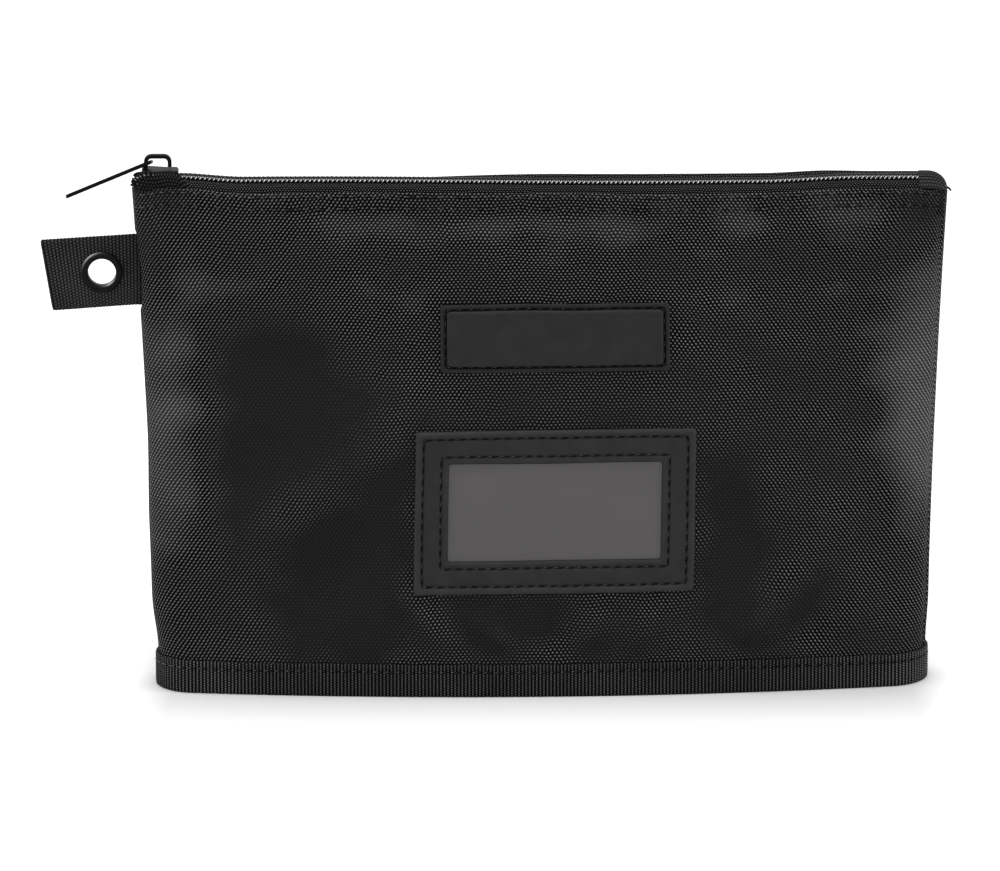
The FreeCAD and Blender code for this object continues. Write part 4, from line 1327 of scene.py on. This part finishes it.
moulded_patch = sewn_ring("moulded_patch_rubber", PATCH_HALF, PATCH_PROFILE, patch_place, PATCH_COUNTS,
                          PATCH_CORNER)
field_inset, field_stand = PATCH_PROFILE[-1][:2]
points = []
uvs = []
for row in range(FIELD_ROWS):
    for column in range(FIELD_COLUMNS):
        x = (2 * column / (FIELD_COLUMNS - 1) - 1) * (PATCH_HALF[0] - field_inset + FIELD_OVERLAP)
        y = (2 * row / (FIELD_ROWS - 1) - 1) * (PATCH_HALF[1] - field_inset + FIELD_OVERLAP)
        points.append(patch_place(x, y, field_stand)[0])
        uvs.append((x, y))
patch_field = mesh_object("moulded_patch_field", points, grid_faces(FIELD_ROWS, FIELD_COLUMNS), uvs)
patch_rubber = grained_material("patch_rubber", 0.0168, 0.42, 3.0, 0.12)
for piece in (moulded_patch, patch_field):
    piece.data.materials.append(patch_rubber)
    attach(piece, "bag")
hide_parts("moulded_patch")
ring_stitches("moulded_patch_stitches", PATCH_HALF, PATCH_SEAM, PATCH_SEAM_STAND, patch_place, PATCH_COUNTS)


# The hang tab: ribbed nylon webbing folded double at its free end, with both raw ends sewn into the
# left side seam.
TAB_AXIS_X = -159.09
TAB_LENGTH = 34.3
TAB_HALF = 14.1
TAB_DROOP = math.radians(4.0)
TAB_LEAN = math.radians(9.5)
TAB_ROOT = 9.5
TAB_LAYER = 0.72
TAB_RIB = 1.33
TAB_RIB_HEIGHT = 0.3
EYELET_REACH = 13.0
EYELET_HOLE = 6.9
TAB_ROWS = 19
WEBBING = 1.2


def tab_path():
    """Stations along the folded webbing: (distance out from the seam, middle of the layer, way it faces)."""
    step = TAB_RIB / 6
    stations = []
    run = -TAB_ROOT
    while run < TAB_LENGTH - TAB_LAYER:
        stations.append((run, -TAB_LAYER, (0, -1)))
        run += step
    for n in range(1, 8):
        turn = math.pi * n / 8
        stations.append((TAB_LENGTH - TAB_LAYER + TAB_LAYER * math.sin(turn), -TAB_LAYER * math.cos(turn),
                         (-math.sin(turn), -math.cos(turn))))
    while run > -TAB_ROOT:
        stations.append((run, TAB_LAYER, (0, 1)))
        run -= step
    return stations


points = []
uvs = []
stations = tab_path()
cloth_run = 0.0
for n, (run, layer, facing) in enumerate(stations):
    if n:
        cloth_run += math.dist((run, layer), stations[n - 1][:2])
    rib = math.cos(2 * math.pi * cloth_run / TAB_RIB)
    for row in range(TAB_ROWS):
        share = 2 * row / (TAB_ROWS - 1) - 1
        edge = smooth_step(0.9, 1.0, abs(share))
        across = share * (TAB_HALF - 0.18 + 0.14 * rib)
        stretch = 1 + math.tan(TAB_LEAN) * across / TAB_LENGTH
        out = run * stretch if run > 0 else run
        lift = TAB_RIB_HEIGHT * (rib - 1) / 2 - 0.25 * edge
        droop = math.sin(TAB_DROOP) * max(out, 0.0)
        sway = 0.5 * smooth_step(4, TAB_LENGTH, out) * math.sin(share * 1.3)
        points.append((TAB_AXIS_X - out * (math.cos(TAB_DROOP) if out > 0 else 1) + facing[0] * lift,
                       layer + facing[1] * lift + sway, TAB_LEVEL + across - droop))
        uvs.append((cloth_run, across))
faces = grid_faces(len(stations), TAB_ROWS)
eyelet_x = TAB_AXIS_X - EYELET_REACH * math.cos(TAB_DROOP)
eyelet_z = TAB_LEVEL - EYELET_REACH * math.sin(TAB_DROOP)
kept = []
for face in faces:
    x = sum(points[k][0] for k in face) / 4
    z = sum(points[k][2] for k in face) / 4
    if math.hypot(x - eyelet_x, z - eyelet_z) > EYELET_HOLE:
        kept.append(face[::-1])
hang_tab = mesh_object("hang_tab_webbing", points, kept, uvs)
thicken(hang_tab, WEBBING, 0)
hang_tab.data.materials.append(ribbed_material("webbing_cloth", TAB_RIB, 1.2, (0.07, 0.07, 0.072, 1), 0.6))
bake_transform(hang_tab)
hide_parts("hang_tab", "hang_tab_root")


# The eyelet: pressed brass, black enamelled; a rolled rim in front, the barrel through the webbing and
# a flare spread over the washer behind.
EYELET_PROFILE = ((5.45, 1.7), (5.45, -1.9), (5.6, -2.3), (5.95, -2.62), (6.45, -2.75), (7.0, -2.72),
                  (7.55, -2.5), (7.95, -2.1), (8.15, -1.7), (8.2, -1.42), (6.4, -1.4), (6.3, 1.4),
                  (6.35, 1.92), (7.2, 2.0), (7.4, 2.2), (7.2, 2.55), (6.6, 2.7), (6.0, 2.55), (5.6, 2.15))
WASHER_PROFILE = ((6.5, 1.45), (8.0, 1.45), (8.2, 1.6), (8.2, 1.8), (8.05, 1.93), (6.5, 1.93))
RING_SEGMENTS = 72


def turned_ring(name, profile):
    """A ring turned from a closed outline of (radius, depth) about the eyelet's level axis."""
    points = []
    for n in range(RING_SEGMENTS):
        angle = 2 * math.pi * n / RING_SEGMENTS
        for radius, depth in profile:
            points.append((eyelet_x + radius * math.cos(angle), depth, eyelet_z + radius * math.sin(angle)))
    return mesh_object(name, points, grid_faces(RING_SEGMENTS, len(profile), True, True))


# Painted highlight on the eyelet's upper left.
eyelet_enamel = painted_highlight_material("eyelet_enamel", 0.007, 0.6, (-0.6, -0.35, 0.72), 12.0)
for name, profile in (("eyelet", EYELET_PROFILE), ("eyelet_washer", WASHER_PROFILE)):
    fasten(turned_ring(name + "_metal", profile), eyelet_enamel, name, body="tab")
